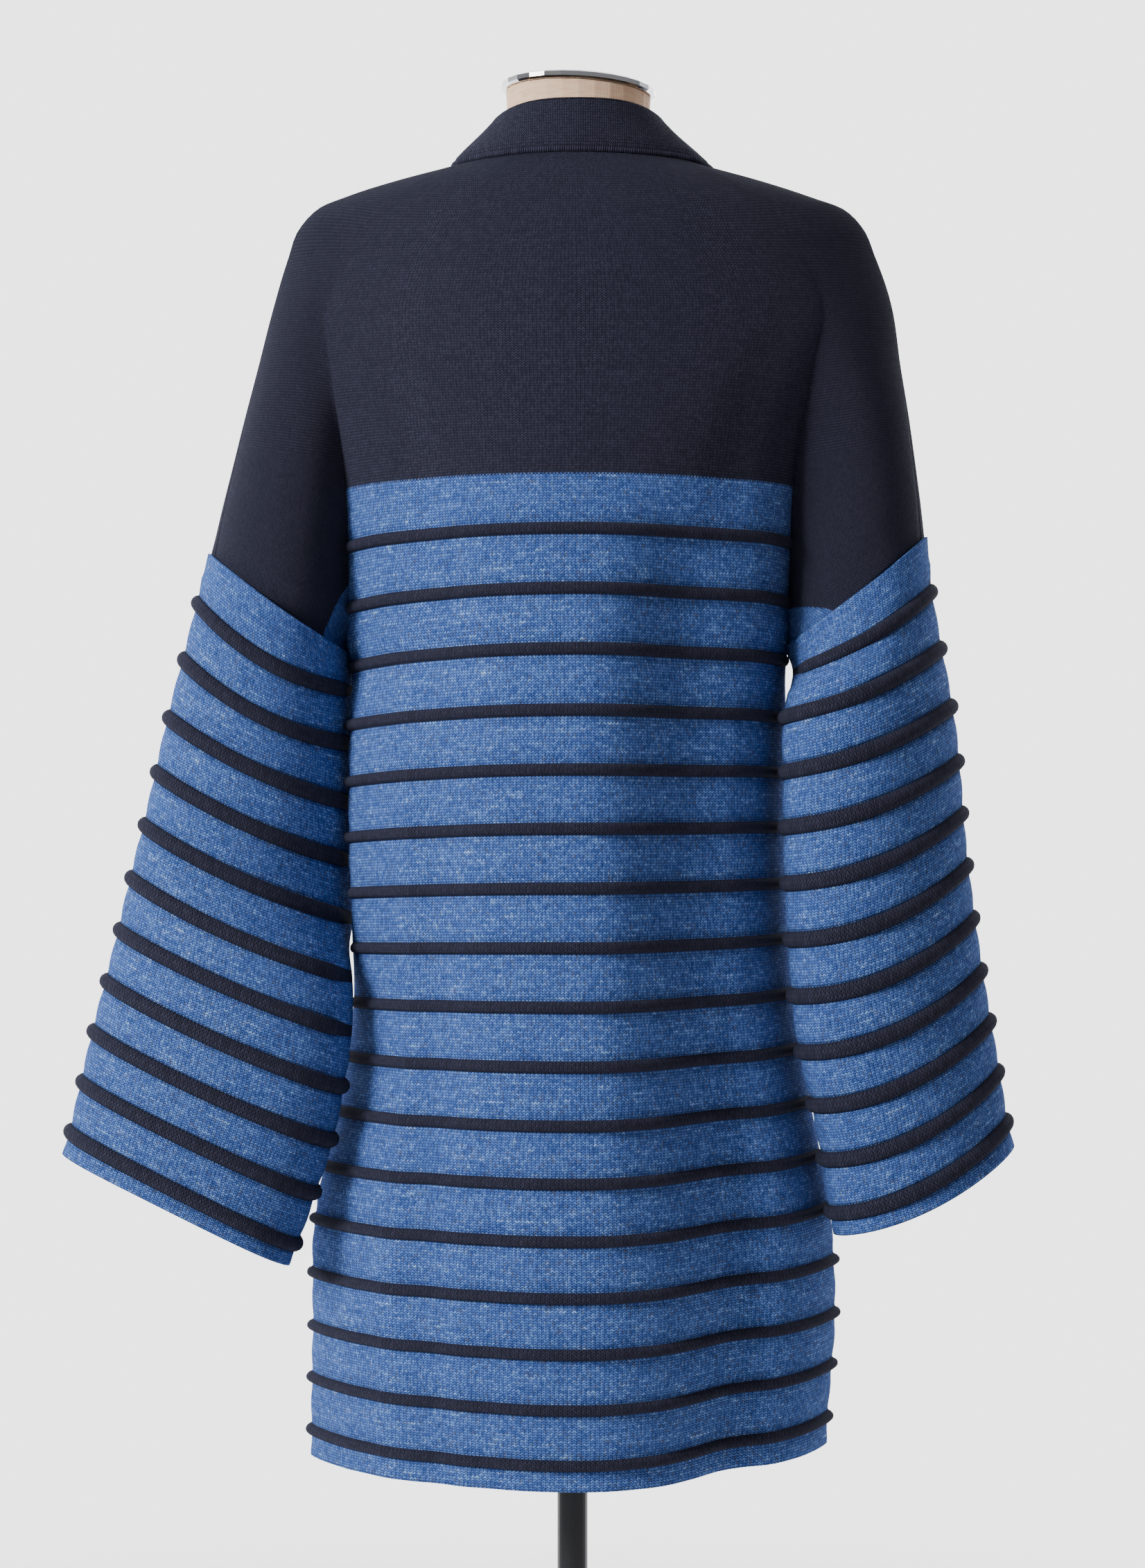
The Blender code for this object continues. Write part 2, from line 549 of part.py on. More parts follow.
def band_half(side):
    """The band's sewn edge, free edge and dish from the middle of the back to the hem, and the
    way the front faces at the sewn edge."""
    left = 1 if side == "left" else -1
    stations = []
    for x, (wide, deep, up), dish in NECK_BAND_BACK:
        across = across_at(side, TOP_ROW, abs(x + left * FORM_MIDDLE))
        sewn = body_point(side if x else "right", "back", across, TOP_ROW) + (0, 0, BAND_LIFT)
        stations.append((sewn, (left * wide + FORM_MIDDLE, deep, up), dish, (0, 0, 0)))
    for row, (wide, deep, up), dish in NECK_BAND_FRONT:
        sewn, facing = front_seam(side, row)
        stations.append((sewn, (left * wide + FORM_MIDDLE, deep, up), dish, facing))
    for row in BAND_ROWS:
        sewn, facing = front_seam(side, row)
        across = across_at(side, row, front_edge(side, row) - BAND_WIDTH)
        stations.append((sewn, body_point(side, "front", across, row), 0, facing))
    return stations


def front_seam(side, row):
    """The band's side of its seam to a front, and the way the front faces there."""
    across = across_at(side, row, front_edge(side, row) - BAND_GAP)
    sewn, under = body_sheet(side, "front", across, np.array(row), np.array(0.0))
    return sewn, (sewn - under) / WALL


def make_band():
    """The collar and front band: one strip from hem to hem round the neck."""
    stations = band_half("left")[:0:-1] + band_half("right")
    sewn, free, dish, facing = (np.array(values, float) for values in zip(*stations))
    share = np.linspace(0, 1, BAND_STEPS + 1)[None, :, None]
    grid = sewn[:, None] + (free - sewn)[:, None] * share
    out = np.cross(np.gradient(grid, axis=0), np.gradient(grid, axis=1))
    out[:, 0] = np.where(facing.any(1, keepdims=True), facing, out[:, 0])
    out /= np.linalg.norm(out, axis=-1, keepdims=True)
    outer = grid + out * (BAND_PROUD - dish[:, None, None] * 4 * share * (1 - share))
    cells = np.ones((len(stations) - 1, BAND_STEPS), bool)
    kept = [True] * len(stations)
    wall("neck_band", outer, outer - out * BAND_WALL, kept, cells, False, NAVY_KNIT)


def loft(name, levels, middle, colour, roughness, metallic=0.0):
    """A closed solid through ovals: height, half width, depth behind and in front, sideways lean."""
    angle = np.linspace(0, 2 * np.pi, FORM_STEPS, endpoint=False)
    rings = []
    for height, half, behind, before, lean in levels:
        wide = half * np.cos(angle)
        deep = np.where(np.sin(angle) > 0, behind, before) * np.sin(angle)
        rings.append(np.stack([middle + wide, deep, height + lean * wide], -1))
    faces = [tuple(range(FORM_STEPS)), tuple(range((len(rings) - 1) * FORM_STEPS, len(rings) * FORM_STEPS))]
    for i in range(len(rings) - 1):
        for j in range(FORM_STEPS):
            k = (j + 1) % FORM_STEPS
            lower, upper = i * FORM_STEPS, (i + 1) * FORM_STEPS
            faces.append((lower + j, lower + k, upper + k, upper + j))
    thing = node(name, np.concatenate(rings), faces, colour, roughness, metallic)
    thing.data.shade_smooth()
    thing.data.set_sharp_from_angle(angle=np.radians(40))
    return thing


def turned(name, profile, ring, colour, roughness, metallic=0.0):
    """A solid turned about the pole from a profile of radius and height, closed on itself in a ring."""
    mesh = bpy.data.meshes.new(name)
    points = [(radius * MM, 0, height * MM) for radius, height in profile]
    edges = [(i, i + 1) for i in range(len(points) - 1)] + [(len(points) - 1, 0)] * ring
    mesh.from_pydata(points, edges, [])
    thing = bpy.data.objects.new(name, mesh)
    parts.objects.link(thing)
    screw = thing.modifiers.new("turn", "SCREW")
    screw.steps = screw.render_steps = TURN_STEPS
    screw.use_merge_vertices = True
    screw.merge_threshold = 0.0001
    finish(thing, colour, roughness, metallic)
    return thing


def make_stand():
    bore = POLE_RADIUS + GAP
    turned("base", (
        (0, HUB_FLOOR), (bore, HUB_FLOOR), (bore, HUB_TOP), (HUB_RADIUS - 2, HUB_TOP),
        (HUB_RADIUS, HUB_TOP - 2), (HUB_RADIUS, BASE_THICK), (BASE_RADIUS - 3, BASE_THICK),
        (BASE_RADIUS, BASE_THICK - 3), (BASE_RADIUS, 1.5), (BASE_RADIUS - 1.5, 0), (0, 0),
    ), False, DARK_METAL, 0.4, 1.0)
    top = FORM_BOTTOM - GAP
    turned("pole", (
        (0, top), (POLE_RADIUS, top), (POLE_RADIUS, HUB_FLOOR + GAP), (0, HUB_FLOOR + GAP),
    ), False, DARK_METAL, 0.35, 1.0)
    low = top - COLLAR_HEIGHT
    turned("pole_collar", (
        (bore, top), (COLLAR_RADIUS, top), (COLLAR_RADIUS, low + 3), (COLLAR_RADIUS - 3, low),
        (bore, low),
    ), True, DARK_METAL, 0.35, 1.0)


def make_form():
    loft("form_torso", FORM_LEVELS, FORM_MIDDLE, LINEN, 0.9)
    top, half, behind, before, lean = FORM_LEVELS[-1]
    rim = [(top + GAP + up, half + wide, behind + wide, before + wide, lean) for up, wide in PLATE_RIM]
    loft("neck_plate", rim, FORM_MIDDLE, CHROME, 0.12, 1.0)


for old in list(bpy.data.objects):
    bpy.data.objects.remove(old, do_unlink=True)
parts = bpy.data.collections.new("cardigan_on_dress_form")
bpy.context.scene.collection.children.link(parts)
make_back()
for side in ("left", "right"):
    make_front(side)
    make_sleeve(side)
make_band()
make_form()
make_stand()
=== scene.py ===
"""A long knitted cardigan on a dress form, seen from behind: the looks, built over its solids."""

# %% [markdown]
# # A cardigan on a dress form
#
# The object is a long, open-fronted cardigan in blue marl with a navy yoke, on a linen dress form.
# Its solids already exist: they were modelled first, in the same place and at the same size.
# This lesson dresses them. Each cut piece of the garment becomes a thin sheet of knitting with its
# folds, its rolled welts and its stitches, and every surface gets the material of the real thing.
# The first cell loads the solids.

import bpy
import numpy as np
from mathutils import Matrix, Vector


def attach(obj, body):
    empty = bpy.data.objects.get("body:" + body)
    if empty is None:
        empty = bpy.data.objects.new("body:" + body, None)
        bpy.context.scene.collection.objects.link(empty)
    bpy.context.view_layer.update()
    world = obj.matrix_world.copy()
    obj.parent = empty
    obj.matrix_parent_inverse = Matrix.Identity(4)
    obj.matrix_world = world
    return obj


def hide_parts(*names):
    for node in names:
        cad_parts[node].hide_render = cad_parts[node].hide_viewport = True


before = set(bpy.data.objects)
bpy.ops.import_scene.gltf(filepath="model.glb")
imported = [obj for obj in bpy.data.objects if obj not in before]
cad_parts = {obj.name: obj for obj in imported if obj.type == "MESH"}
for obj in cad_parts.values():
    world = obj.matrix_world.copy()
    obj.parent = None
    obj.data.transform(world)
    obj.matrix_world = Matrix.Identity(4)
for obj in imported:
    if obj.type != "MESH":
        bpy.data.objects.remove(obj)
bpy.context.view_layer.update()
print("solids:", sorted(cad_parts))

# %% [markdown]
# ## Sizes
#
# Everything is counted the way a knitter counts. A row is one welt: row 1 is the first raised welt
# on the back, row 17 the last, the blue begins at row 0 and the navy yoke runs up to row -6.
# A wale, the column of stitches, is 2.4 mm wide, and 21 courses of stitches fill one row.
# Lengths are in millimetres until a mesh is made. Left is the wearer's left, at +X.

# %% Knitting sizes
MM = 0.001
WALE = 2.42
COURSES = 21
BODY_PITCH = 38.1
SLEEVE_PITCH = 38.0
TOP_ROW = -6.0
UNDERARM_ROW = 2.75
HEM_ROW = 17.47
CUFF_ROW = 11.45
WELTS_ON_BODY = 17
WELTS_ON_SLEEVE = 11
WELT_HALF = 3.9
WELT_HEIGHT = 4.4
WELT_SWELLS = 0.35
FOOT_PINCH = 0.5
FOOT_WIDTH = 0.7
BELLY = 0.8
YARN_WALL = 2.2
FORM_MIDDLE = -4.0
BAND_WIDTH = 40.0
BAND_WALL = 3.2
RIDGE_SEAM = 1.84
SIDE_ROUNDNESS = 1.5
# The wearer's left is at +X, and the back faces +Y.
SIGN = {"left": 1, "right": -1, "back": 1, "front": -1}

# %% [markdown]
# ## The shape of the worn cloth
#
# A garment on a form isn't symmetrical: one sleeve hangs behind the other's plane, and the hem
# swings. So the shape is a short table with a line for each row that matters and a column for each
# size, and a smooth cubic reads any column at any row between them.

# %% Tables of the body, the dropped shoulders and the sleeves
# The body, row by row: the height and depth of the middle of the back, the depth of the front,
# and for each side the half width, how far the row rises there, and the depth of its side line
# on the back and on the front. Above the underarm the side line is the fold between back and arm.
BODY_COLUMNS = (
    "row", "height", "back", "front",
    "half_left", "rise_left", "back_left", "front_left",
    "half_right", "rise_right", "back_right", "front_right",
)
BODY_ROWS = (
    (-6.0, 1449.5, 62, -46, 62, 0, 40, -20, 74, 0, 40, -20),
    (-5.5, 1433, 75, -72, 92, 5, 52, -34, 94, 6, 52, -30),
    (-5.0, 1414, 85, -88, 116, 10, 60, -46, 118, 11, 60, -42),
    (-4.0, 1376, 99, -108, 150, 8, 66, -60, 152, 8, 68, -56),
    (-3.0, 1338.6, 107, -122, 166, 6, 66, -64, 168, 6, 70, -58),
    (-2.0, 1301, 112, -130, 163, 5, 58, -58, 161, 5, 63, -50),
    (-1.0, 1264, 115, -134, 158, 3, 47, -48, 154, 3, 53, -40),
    (0.0, 1227, 117, -136, 154, 0, 35, -38, 149, 0, 44, -28),
    (1.0, 1189.7, 118, -137, 153.5, -2, 22, -32, 148, -1, 35, -14),
    (2.0, 1150.5, 118.5, -137.5, 155, -3, 3, -28, 147.5, -1, 24, 2),
    (2.75, 1121, 119, -138, 158, -3, -21.8, -22.2, 148, -1, 16.2, 15.8),
    (2.95, 1113, 119, -138, 155.5, -3, -18.8, -19.2, 147, -1, 14.7, 14.3),
    (4.0, 1071, 119.5, -138, 154.5, -4, -3.8, -4.2, 147, 0, 8.2, 7.8),
    (6.0, 993.4, 120.5, -138.5, 154.5, -4, 1.2, 0.8, 147, 3, 2.2, 1.8),
    (7.5, 935, 121.5, -139, 153.5, -3, -6.8, -7.2, 148.5, 4, 2.2, 1.8),
    (9.0, 877, 123, -139, 153, -2, -19.8, -20.2, 153, 6, 3.2, 2.8),
    (10.0, 838.2, 124, -139.5, 157, -1, -21.8, -22.2, 158, 7, 5.2, 4.8),
    (11.0, 800, 125, -140, 163, 0, -13.8, -14.2, 164, 8, 5.2, 4.8),
    (12.0, 762.5, 125.5, -140.2, 172, 0, -5.8, -6.2, 171, 9, 5.2, 4.8),
    (13.0, 725.1, 126, -140.5, 178, 1, 0.2, -0.2, 177, 10, 5.2, 4.8),
    (15.0, 652, 127, -141, 179, 1, 5.2, 4.8, 181, 10, 5.2, 4.8),
    (17.0, 580.3, 128, -142, 180, 1, 5.2, 4.8, 176, 10, 5.2, 4.8),
    (17.5, 562.5, 128, -142, 180, 0, 5.2, 4.8, 175, 8, 5.2, 4.8),
)

# The dropped shoulder, row by row down to the armhole seam: its outer edge, how deep it bulges,
# how far round it turns in to the fold, how strong that fold is, and how much a row sags.
ARM_COLUMNS = (
    "row", "out_left", "up_left", "deep_left", "out_right", "up_right", "deep_right",
    "bulge", "turn", "fold", "sag",
)
ARM_ROWS = (
    (-6.0, 86, 1449, 12, 101, 1447, 12, 50, 80, 0, 0),
    (-5.5, 124, 1441, 8, 133, 1440.5, 8, 58, 85, 0, 0),
    (-5.0, 157, 1431.5, 5, 168, 1430, 6, 64, 90, 0, 0),
    (-4.6, 178, 1422.5, 3, 190, 1421.5, 5, 68, 92, 0, 0),
    (-4.3, 190.5, 1408, 2, 202, 1408, 5, 70, 94, 0.02, 0),
    (-4.0, 196.5, 1391, 1, 208.5, 1392, 5, 72, 96, 0.05, 0),
    (-3.0, 208, 1352, 0, 220.5, 1355, 6, 74, 104, 0.22, 0),
    (-2.0, 217.5, 1314, -1, 226, 1314, 8, 72, 116, 0.5, 0),
    (-1.0, 227, 1277, -2, 231, 1280, 10, 69, 130, 0.78, -2),
    (0.0, 235, 1245, -3, 235, 1249, 12, 66, 142, 0.95, -5),
    (1.0, 242, 1218, -4, 238, 1224, 14, 64, 155, 1, -5),
    (2.0, 247, 1197, -4, 240, 1206, 15, 62, 170, 1, -4),
    (2.75, 250, 1185.5, -4, 241, 1195, 16, 62, 180, 1, -3),
)

# The sleeves, row by row: the outer and the inner point of a row, how far it bulges to the back and
# to the front, and how far its middle rises above a straight line.
SLEEVE_COLUMNS = (
    "row", "out", "out_up", "out_deep", "in", "in_up", "in_deep", "bulge_back", "bulge_front", "bow",
)
SLEEVE_ROWS = {
    "left": (
        (0.0, 250, 1185.5, -4, 158, 1118, -22, 62, 62, -3),
        (1.0, 257.5, 1151.5, -3, 155.5, 1092, -30, 60, 58, -14),
        (3.0, 277, 1072, 2, 153.5, 1013, -34, 59, 56, -8),
        (5.0, 293, 998, 8, 156, 933, -29, 57, 54, -6),
        (5.5, 297.2, 980, 10, 157.5, 913, -10, 56, 54, -6),
        (6.0, 301.5, 961.5, 12, 154, 893, 9, 55, 53, -5),
        (7.0, 309, 926, 17, 153, 857, 25, 53, 52, -3),
        (8.0, 317, 891, 22, 158, 820, 34, 52, 51, -2),
        (9.0, 325, 857, 27, 165, 784, 37, 51, 50, -1),
        (10.0, 332, 823, 32, 176, 749, 44, 50, 49, 1),
        (11.0, 339, 789.5, 37, 188, 715, 50, 49, 48, 3),
        (11.5, 343.5, 772.5, 39, 194, 700, 53, 49, 48, 4),
    ),
    "right": (
        (0.0, 241, 1195, 16, 148, 1120, 16, 62, 62, -3),
        (1.0, 243.5, 1157, 20, 152.5, 1101, 30, 60, 57, -8),
        (2.0, 250, 1118, 22, 144.5, 1069, 54, 59, 57, -8),
        (3.0, 257, 1078.5, 24, 144.5, 1032.5, 55, 58, 56, -8),
        (6.0, 267.5, 970.5, 26, 147.5, 920, 55, 55, 54, -11),
        (8.0, 277, 899, 28, 155, 845, 54, 52, 52, -11),
        (9.0, 282.7, 864.5, 28, 163.5, 809, 50, 51, 51, -10),
        (10.0, 288.5, 830, 29, 171, 772, 45, 50, 50, -10),
        (11.0, 294, 796, 30, 176, 736, 45, 49, 49, -9),
        (11.5, 298.5, 777, 30, 180, 719.5, 45, 49, 49, -8),
    ),
}

# Where each front meets the band, row by row, as distances from the middle of the frame.
EDGE_COLUMNS = ("row", "left", "right")
FRONT_EDGE = (
    (-6.0, 84, 98), (-5.5, 88, 97), (-5.0, 87, 90), (-4.0, 80, 81), (-3.0, 73, 73), (-2.0, 68, 68),
    (-1.0, 66, 66), (0.0, 65, 65), (4.0, 66, 66), (9.0, 71, 71), (13.0, 75, 75), (17.5, 79, 79),
)
# The free edge of the band where it stands round the neck: against a distance from the middle along
# the back's top edge, then against a row down the front. Each is half a width from the form's
# middle, a depth and a height, with how far the band is dished between its edges. Below the last
# of them the band lies flat on from the front.
NECK_BAND_BACK = (
    (0, (0, 50.5, 1488), 0),
    (24, (24, 46, 1488), 0),
    (46, (42, 33, 1487), 1),
    (66, (53, 15, 1484), 1.5),
    (82, (55, 4, 1482), 1.5),
)
NECK_BAND_FRONT = (
    (-6.0, (55.5, -4, 1479), 1.5),
    (-5.7, (55.5, -20, 1470), 2),
    (-5.35, (55, -38, 1457), 2),
    (-5.0, (53, -58, 1438), 1.5),
    (-4.6, (51, -80, 1414), 1),
)
BAND_ROWS = (
    -4.1, -3.5, -2.8, -2.1, -1.3, -0.4, 0.6, 2.0, 4.0, 6.0, 8.0, 10.0, 12.0, 14.0, 16.0, HEM_ROW,
)


# %% Read a table
def cubic(s, start, start_slope, end, end_slope):
    """The cubic from start to end that has these slopes there, at a share s of the way."""
    return (
        (2 * s**3 - 3 * s**2 + 1) * start + (s**3 - 2 * s**2 + s) * start_slope
        + (3 * s**2 - 2 * s**3) * end + (s**3 - s**2) * end_slope
    )


def column(columns, rows, name, at):
    """One column of a table at any row. Between two lines it is a cubic that leaves each line with
    the slope measured across its neighbours, so the cloth has no corners."""
    keys = np.array([row[0] for row in rows], float)
    values = np.array([row[columns.index(name)] for row in rows], float)
    slopes = np.gradient(values, keys)
    at = np.clip(at, keys[0], keys[-1])
    i = np.clip(np.searchsorted(keys, at, side="right") - 1, 0, len(keys) - 2)
    step = keys[i + 1] - keys[i]
    share = (at - keys[i]) / step
    return cubic(share, values[i], step * slopes[i], values[i + 1], step * slopes[i + 1])


def body(name, at):
    return column(BODY_COLUMNS, BODY_ROWS, name, at)


def arm(name, at):
    return column(ARM_COLUMNS, ARM_ROWS, name, at)


def soft(share):
    """A step from 0 to 1 with no corners: 3 s squared less 2 s cubed."""
    share = np.clip(share, 0, 1)
    return share * share * (3 - 2 * share)


print("half width at the hem:", round(float(body("half_left", HEM_ROW)), 1), "mm")

# %% [markdown]
# ## Folds
#
# Knitting is heavy and soft, so it hangs in a few long, shallow folds and not in crisp creases.
# A simulation would find folds of its own, but these have to be where the real ones are. Each is
# placed one by one instead: a bell-shaped ridge or trough across the cloth, which slants from one
# share of the width to another as it runs down and grows out of nothing over its first rows.

# %% Folds of the body
# Each fold: where its middle is at its first and at its last row, as a share of the half width with
# the wearer's left as plus, those two rows, its width as a share, and its height in millimetres.
FOLDS = {
    "back": (
        (0.80, 0.60, 3.5, 17.6, 0.10, 2.8),
        (0.66, 0.46, 4.5, 17.6, 0.09, -2.4),
        (-0.42, -0.36, 7.0, 17.6, 0.12, 4.2),
        (-0.66, -0.60, 8.0, 17.6, 0.12, -3.4),
        (0.14, 0.10, 9.0, 17.6, 0.14, 2.0),
        (-0.46, -0.50, -0.4, 17.6, 0.17, -11.0),
        (-0.10, -0.08, 0.0, 17.6, 0.12, 2.2),
    ),
    "front": (
        (0.78, 0.70, 1.0, 17.6, 0.10, 4.2),
        (0.60, 0.55, 3.0, 17.6, 0.08, -3.2),
        (-0.74, -0.68, 2.0, 17.6, 0.10, 3.8),
        (-0.57, -0.52, 4.0, 17.6, 0.08, -3.4),
    ),
}

# Smaller creases, and deeper reaches of these folds, that only the looks need, in the same form.
CREASES = {
    "back": (
        (0.92, 0.82, 4.5, 12.0, 0.05, 1.6),
        (0.34, 0.30, 10.0, 17.6, 0.06, -1.3),
        (0.50, 0.40, 12.0, 17.6, 0.05, 1.2),
        (-0.20, -0.16, 5.0, 14.0, 0.08, 1.2),
        (-0.52, -0.47, 9.0, 17.6, 0.045, 1.5),
        (-0.84, -0.76, 5.0, 17.6, 0.06, 1.6),
        (-0.88, -0.86, -1.5, 9.0, 0.11, 5.5),
        (-0.56, -0.68, 8.5, 17.6, 0.24, -11.0),
        (0.90, 0.55, -4.0, 2.0, 0.10, -2.0),
        (-0.90, -0.58, -4.0, 2.0, 0.10, -1.8),
        (0.97, 0.70, -1.5, 4.5, 0.06, 2.0),
        (-0.98, -0.74, -1.0, 4.5, 0.06, 1.6),
    ),
    "front": (
        (0.88, 0.80, 2.0, 14.0, 0.06, 1.5),
        (0.50, 0.46, 8.0, 17.6, 0.05, 1.3),
        (-0.86, -0.80, 3.0, 15.0, 0.06, 1.5),
        (-0.66, -0.60, 7.0, 17.6, 0.05, 1.4),
        (-0.48, -0.47, 9.0, 17.6, 0.05, -1.2),
    ),
}

ROWS_TO_GROW = 3.0


def fold_height(face, share, row):
    """The folds added up: each a bell across the cloth, fading in over three rows from its top."""
    height = np.zeros(np.broadcast(share, row).shape)
    for start, end, top, bottom, width, rise in FOLDS[face] + CREASES[face]:
        middle = start + (end - start) * np.clip((row - top) / (bottom - top), 0, 1)
        grown = soft((row - top) / ROWS_TO_GROW)
        height += rise * grown * np.exp(-(((share - middle) / width) ** 2))
    return height


print("folds:", {face: len(FOLDS[face] + CREASES[face]) for face in FOLDS})

# %% [markdown]
# ## The surface of the body and of the sleeves
#
# The body is an arch at each row: flat over the back, turning in ever faster to the side line. The
# dropped shoulder is a second arch, the top of the arm. The two meet in the valley beside the
# shoulder blade. Above it both melt into one plain arch, because the form's shoulder fills it.
# A sleeve is a tube whose rows slope, from an outer point to an inner one.

# %% Points on the cloth
def body_point(side, face, across, row):
    """A point on the outside of the body or the dropped shoulder.

    across runs from 0, the middle of the back or front, to 1, the side line, and on to 2, the outer
    edge of the dropped shoulder. Up to 1 it is an arch over an angle: x is the half width times its
    sine, y falls from the middle to the side line with a power of its cosine. From 1 to 2 it is the
    arm's own arch, which turns in to the fold; above the fold both melt into one plain arch."""
    left = SIGN[side]
    middle = body(face, row)
    half = body("half_" + side, row)
    height = body("height", row)
    rise = body("rise_" + side, row)
    line = body(face + "_" + side, row)
    angle = np.clip(across, 0, 1) * np.pi / 2
    x_in = half * np.sin(angle)
    y_in = line + (middle - line) * np.maximum(np.cos(angle), 0) ** SIDE_ROUNDNESS
    z_in = height + rise * np.sin(angle) ** 2
    out, up, deep = (arm(name + "_" + side, row) for name in ("out", "up", "deep"))
    turn = np.radians(arm("turn", row))
    angle = turn * (2 - np.clip(across, 1, 2))
    toward = (1 - np.cos(angle)) / (1 - np.cos(turn))
    bulge = SIGN[face] * arm("bulge", row)
    x_arm = out + (half - out) * toward
    slip = line - deep - bulge * np.sin(turn)
    y_arm = deep + bulge * np.sin(angle) + slip * toward
    z_arm = up + (height + rise - up) * toward + arm("sag", row) * 4 * toward * (1 - toward)
    pairs = ((x_in, x_arm), (y_in, y_arm), (z_in, z_arm))
    x, y, z = (np.where(across <= 1, on_body, on_arm) for on_body, on_arm in pairs)
    plain = deep + (middle - deep) * np.maximum(1 - (x / out) ** 2, 0) ** (SIDE_ROUNDNESS / 2)
    fold = np.where(row < UNDERARM_ROW, arm("fold", row), 1.0)
    y = plain + (y - plain) * fold
    y = y + SIGN[face] * fold_height(face, left * x / half, row)
    return np.stack([left * x, y, z], -1)


def sleeve_point(side, around, row):
    """A point on the outside of a sleeve: around is an angle from its outer edge over the back.

    A line that bows joins the row's outer and inner points, by the cosine of the angle, and the
    sine of the angle swings it to the back and then to the front."""
    left = SIGN[side]
    get = {n: column(SLEEVE_COLUMNS, SLEEVE_ROWS[side], n, row) for n in SLEEVE_COLUMNS[1:]}
    toward = (1 - np.cos(around)) / 2
    swing = np.sin(around)
    x = get["out"] + (get["in"] - get["out"]) * toward
    y = get["out_deep"] + (get["in_deep"] - get["out_deep"]) * toward
    y = y + np.where(swing > 0, get["bulge_back"], get["bulge_front"]) * swing
    z = get["out_up"] + (get["in_up"] - get["out_up"]) * toward
    z = z + get["bow"] * 4 * toward * (1 - toward)
    return np.stack([left * x, y, z], -1)


def front_edge(side, row):
    columns = dict(zip(EDGE_COLUMNS, zip(*FRONT_EDGE)))
    return np.interp(row, columns["row"], columns[side])


def across_at(side, row, x):
    """Where a distance from the middle lies on a row: body_point's arches, solved for across."""
    half, out = body("half_" + side, row), arm("out_" + side, row)
    turn = np.radians(arm("turn", row))
    toward = np.clip((out - x) / (out - half), 0, 1)
    on_arm = 2 - np.arccos(1 - toward * (1 - np.cos(turn))) / turn
    on_body = np.arcsin(np.clip(x / half, 0, 1)) * 2 / np.pi
    return np.where(x < half, on_body, on_arm)


print("centre back at row 1:", body_point("left", "back", np.array(0.0), np.array(1.0)).round(1))

# %% [markdown]
# ## Welts
#
# Each welt is a fold of knitting, joined at its base so that it rolls into a tube 7.8 mm wide. It
# could be a separate tube, but then its base would never sit right in the folds. It is raised out
# of the cloth instead: rows of points are packed across each welt, and half an ellipse lifts them
# along the cloth's own normal. Hand-made tubes aren't perfect, so each wanders and swells a little.

# %% Rows of points, closely packed at the welts
# Three waves: how strong, how long in millimetres, and how far each welt shifts it.
WANDER_WAVES = ((1.0, 43, 2.3), (0.7, 19, 4.1), (0.5, 9.7, 7.7))
# Where rows of points lie, in millimetres from a welt's crest.
ACROSS_WELT = (
    -5.2, -3.9, -3.6, -2.9, -1.8, -0.6, 0.6, 1.8, 2.9, 3.6, 3.9, 5.2, 9.5, 14.5, 19.5, 24.5, 29.0,
)


def wander(along, welt):
    """A slow, seeming-random wave in -1..1: three sines of unlike lengths, shifted by the welt."""
    waves = (strong * np.sin(along / long + welt * shift) for strong, long, shift in WANDER_WAVES)
    return sum(waves) / sum(strong for strong, _, _ in WANDER_WAVES)


def welted_rows(first_rows, first_welt, last_welt, pitch, last_row):
    """The rows before the first welt, then for each welt its own and those down to the next."""
    rows = list(first_rows)
    for welt in range(first_welt, last_welt + 1):
        rows += [welt + offset / pitch for offset in ACROSS_WELT]
    return np.array([row for row in rows if row < last_row - 0.02] + [last_row])


def welt_lift(rows, along, last_welt, pitch):
    """How far the knitting stands out: half an ellipse over each welt, pinched at its foot, and a
    slight belly between two welts."""
    welt = np.clip(np.round(rows), 1, last_welt)
    away = (rows - welt) * pitch
    wave = wander(along, welt)
    tube = (WELT_HEIGHT + WELT_SWELLS * wave) * np.sqrt(np.maximum(1 - (away / WELT_HALF) ** 2, 0))
    foot = -FOOT_PINCH * np.exp(-(((np.abs(away) - WELT_HALF) / FOOT_WIDTH) ** 2))
    belly = BELLY * soft((np.abs(away) - 5) / 12)
    return np.where(np.abs(away) < WELT_HALF, tube, belly * (rows > 0.5)) + foot


# %% [markdown]
# ## From points to a mesh
#
# One function makes every sheet. It takes a grid of points, and a second grid that says where each
# point lies in the knitting: how many millimetres along the row, and which row. That second grid
# becomes the UV map, so the stitches follow the cloth through every fold. A Solidify modifier then
# gives the sheet the thickness of the yarn, inwards.

# %% Sheets of knitting
def facing(points, outward):
    """Unit normals of a grid of points: the cross product of its two directions, outwards."""
    cross = np.cross(np.gradient(points, axis=1), np.gradient(points, axis=0)) * outward
    return cross / np.maximum(np.linalg.norm(cross, axis=-1, keepdims=True), 1e-9)


# The yoke's last navy course ends this far below row 0, in millimetres. A height above that edge
# says which yarn is used, and the two far heights stand for all navy and for no yoke.
YOKE_EDGE = 1.5
ALL_NAVY = 99.0
NO_YOKE = -99.0


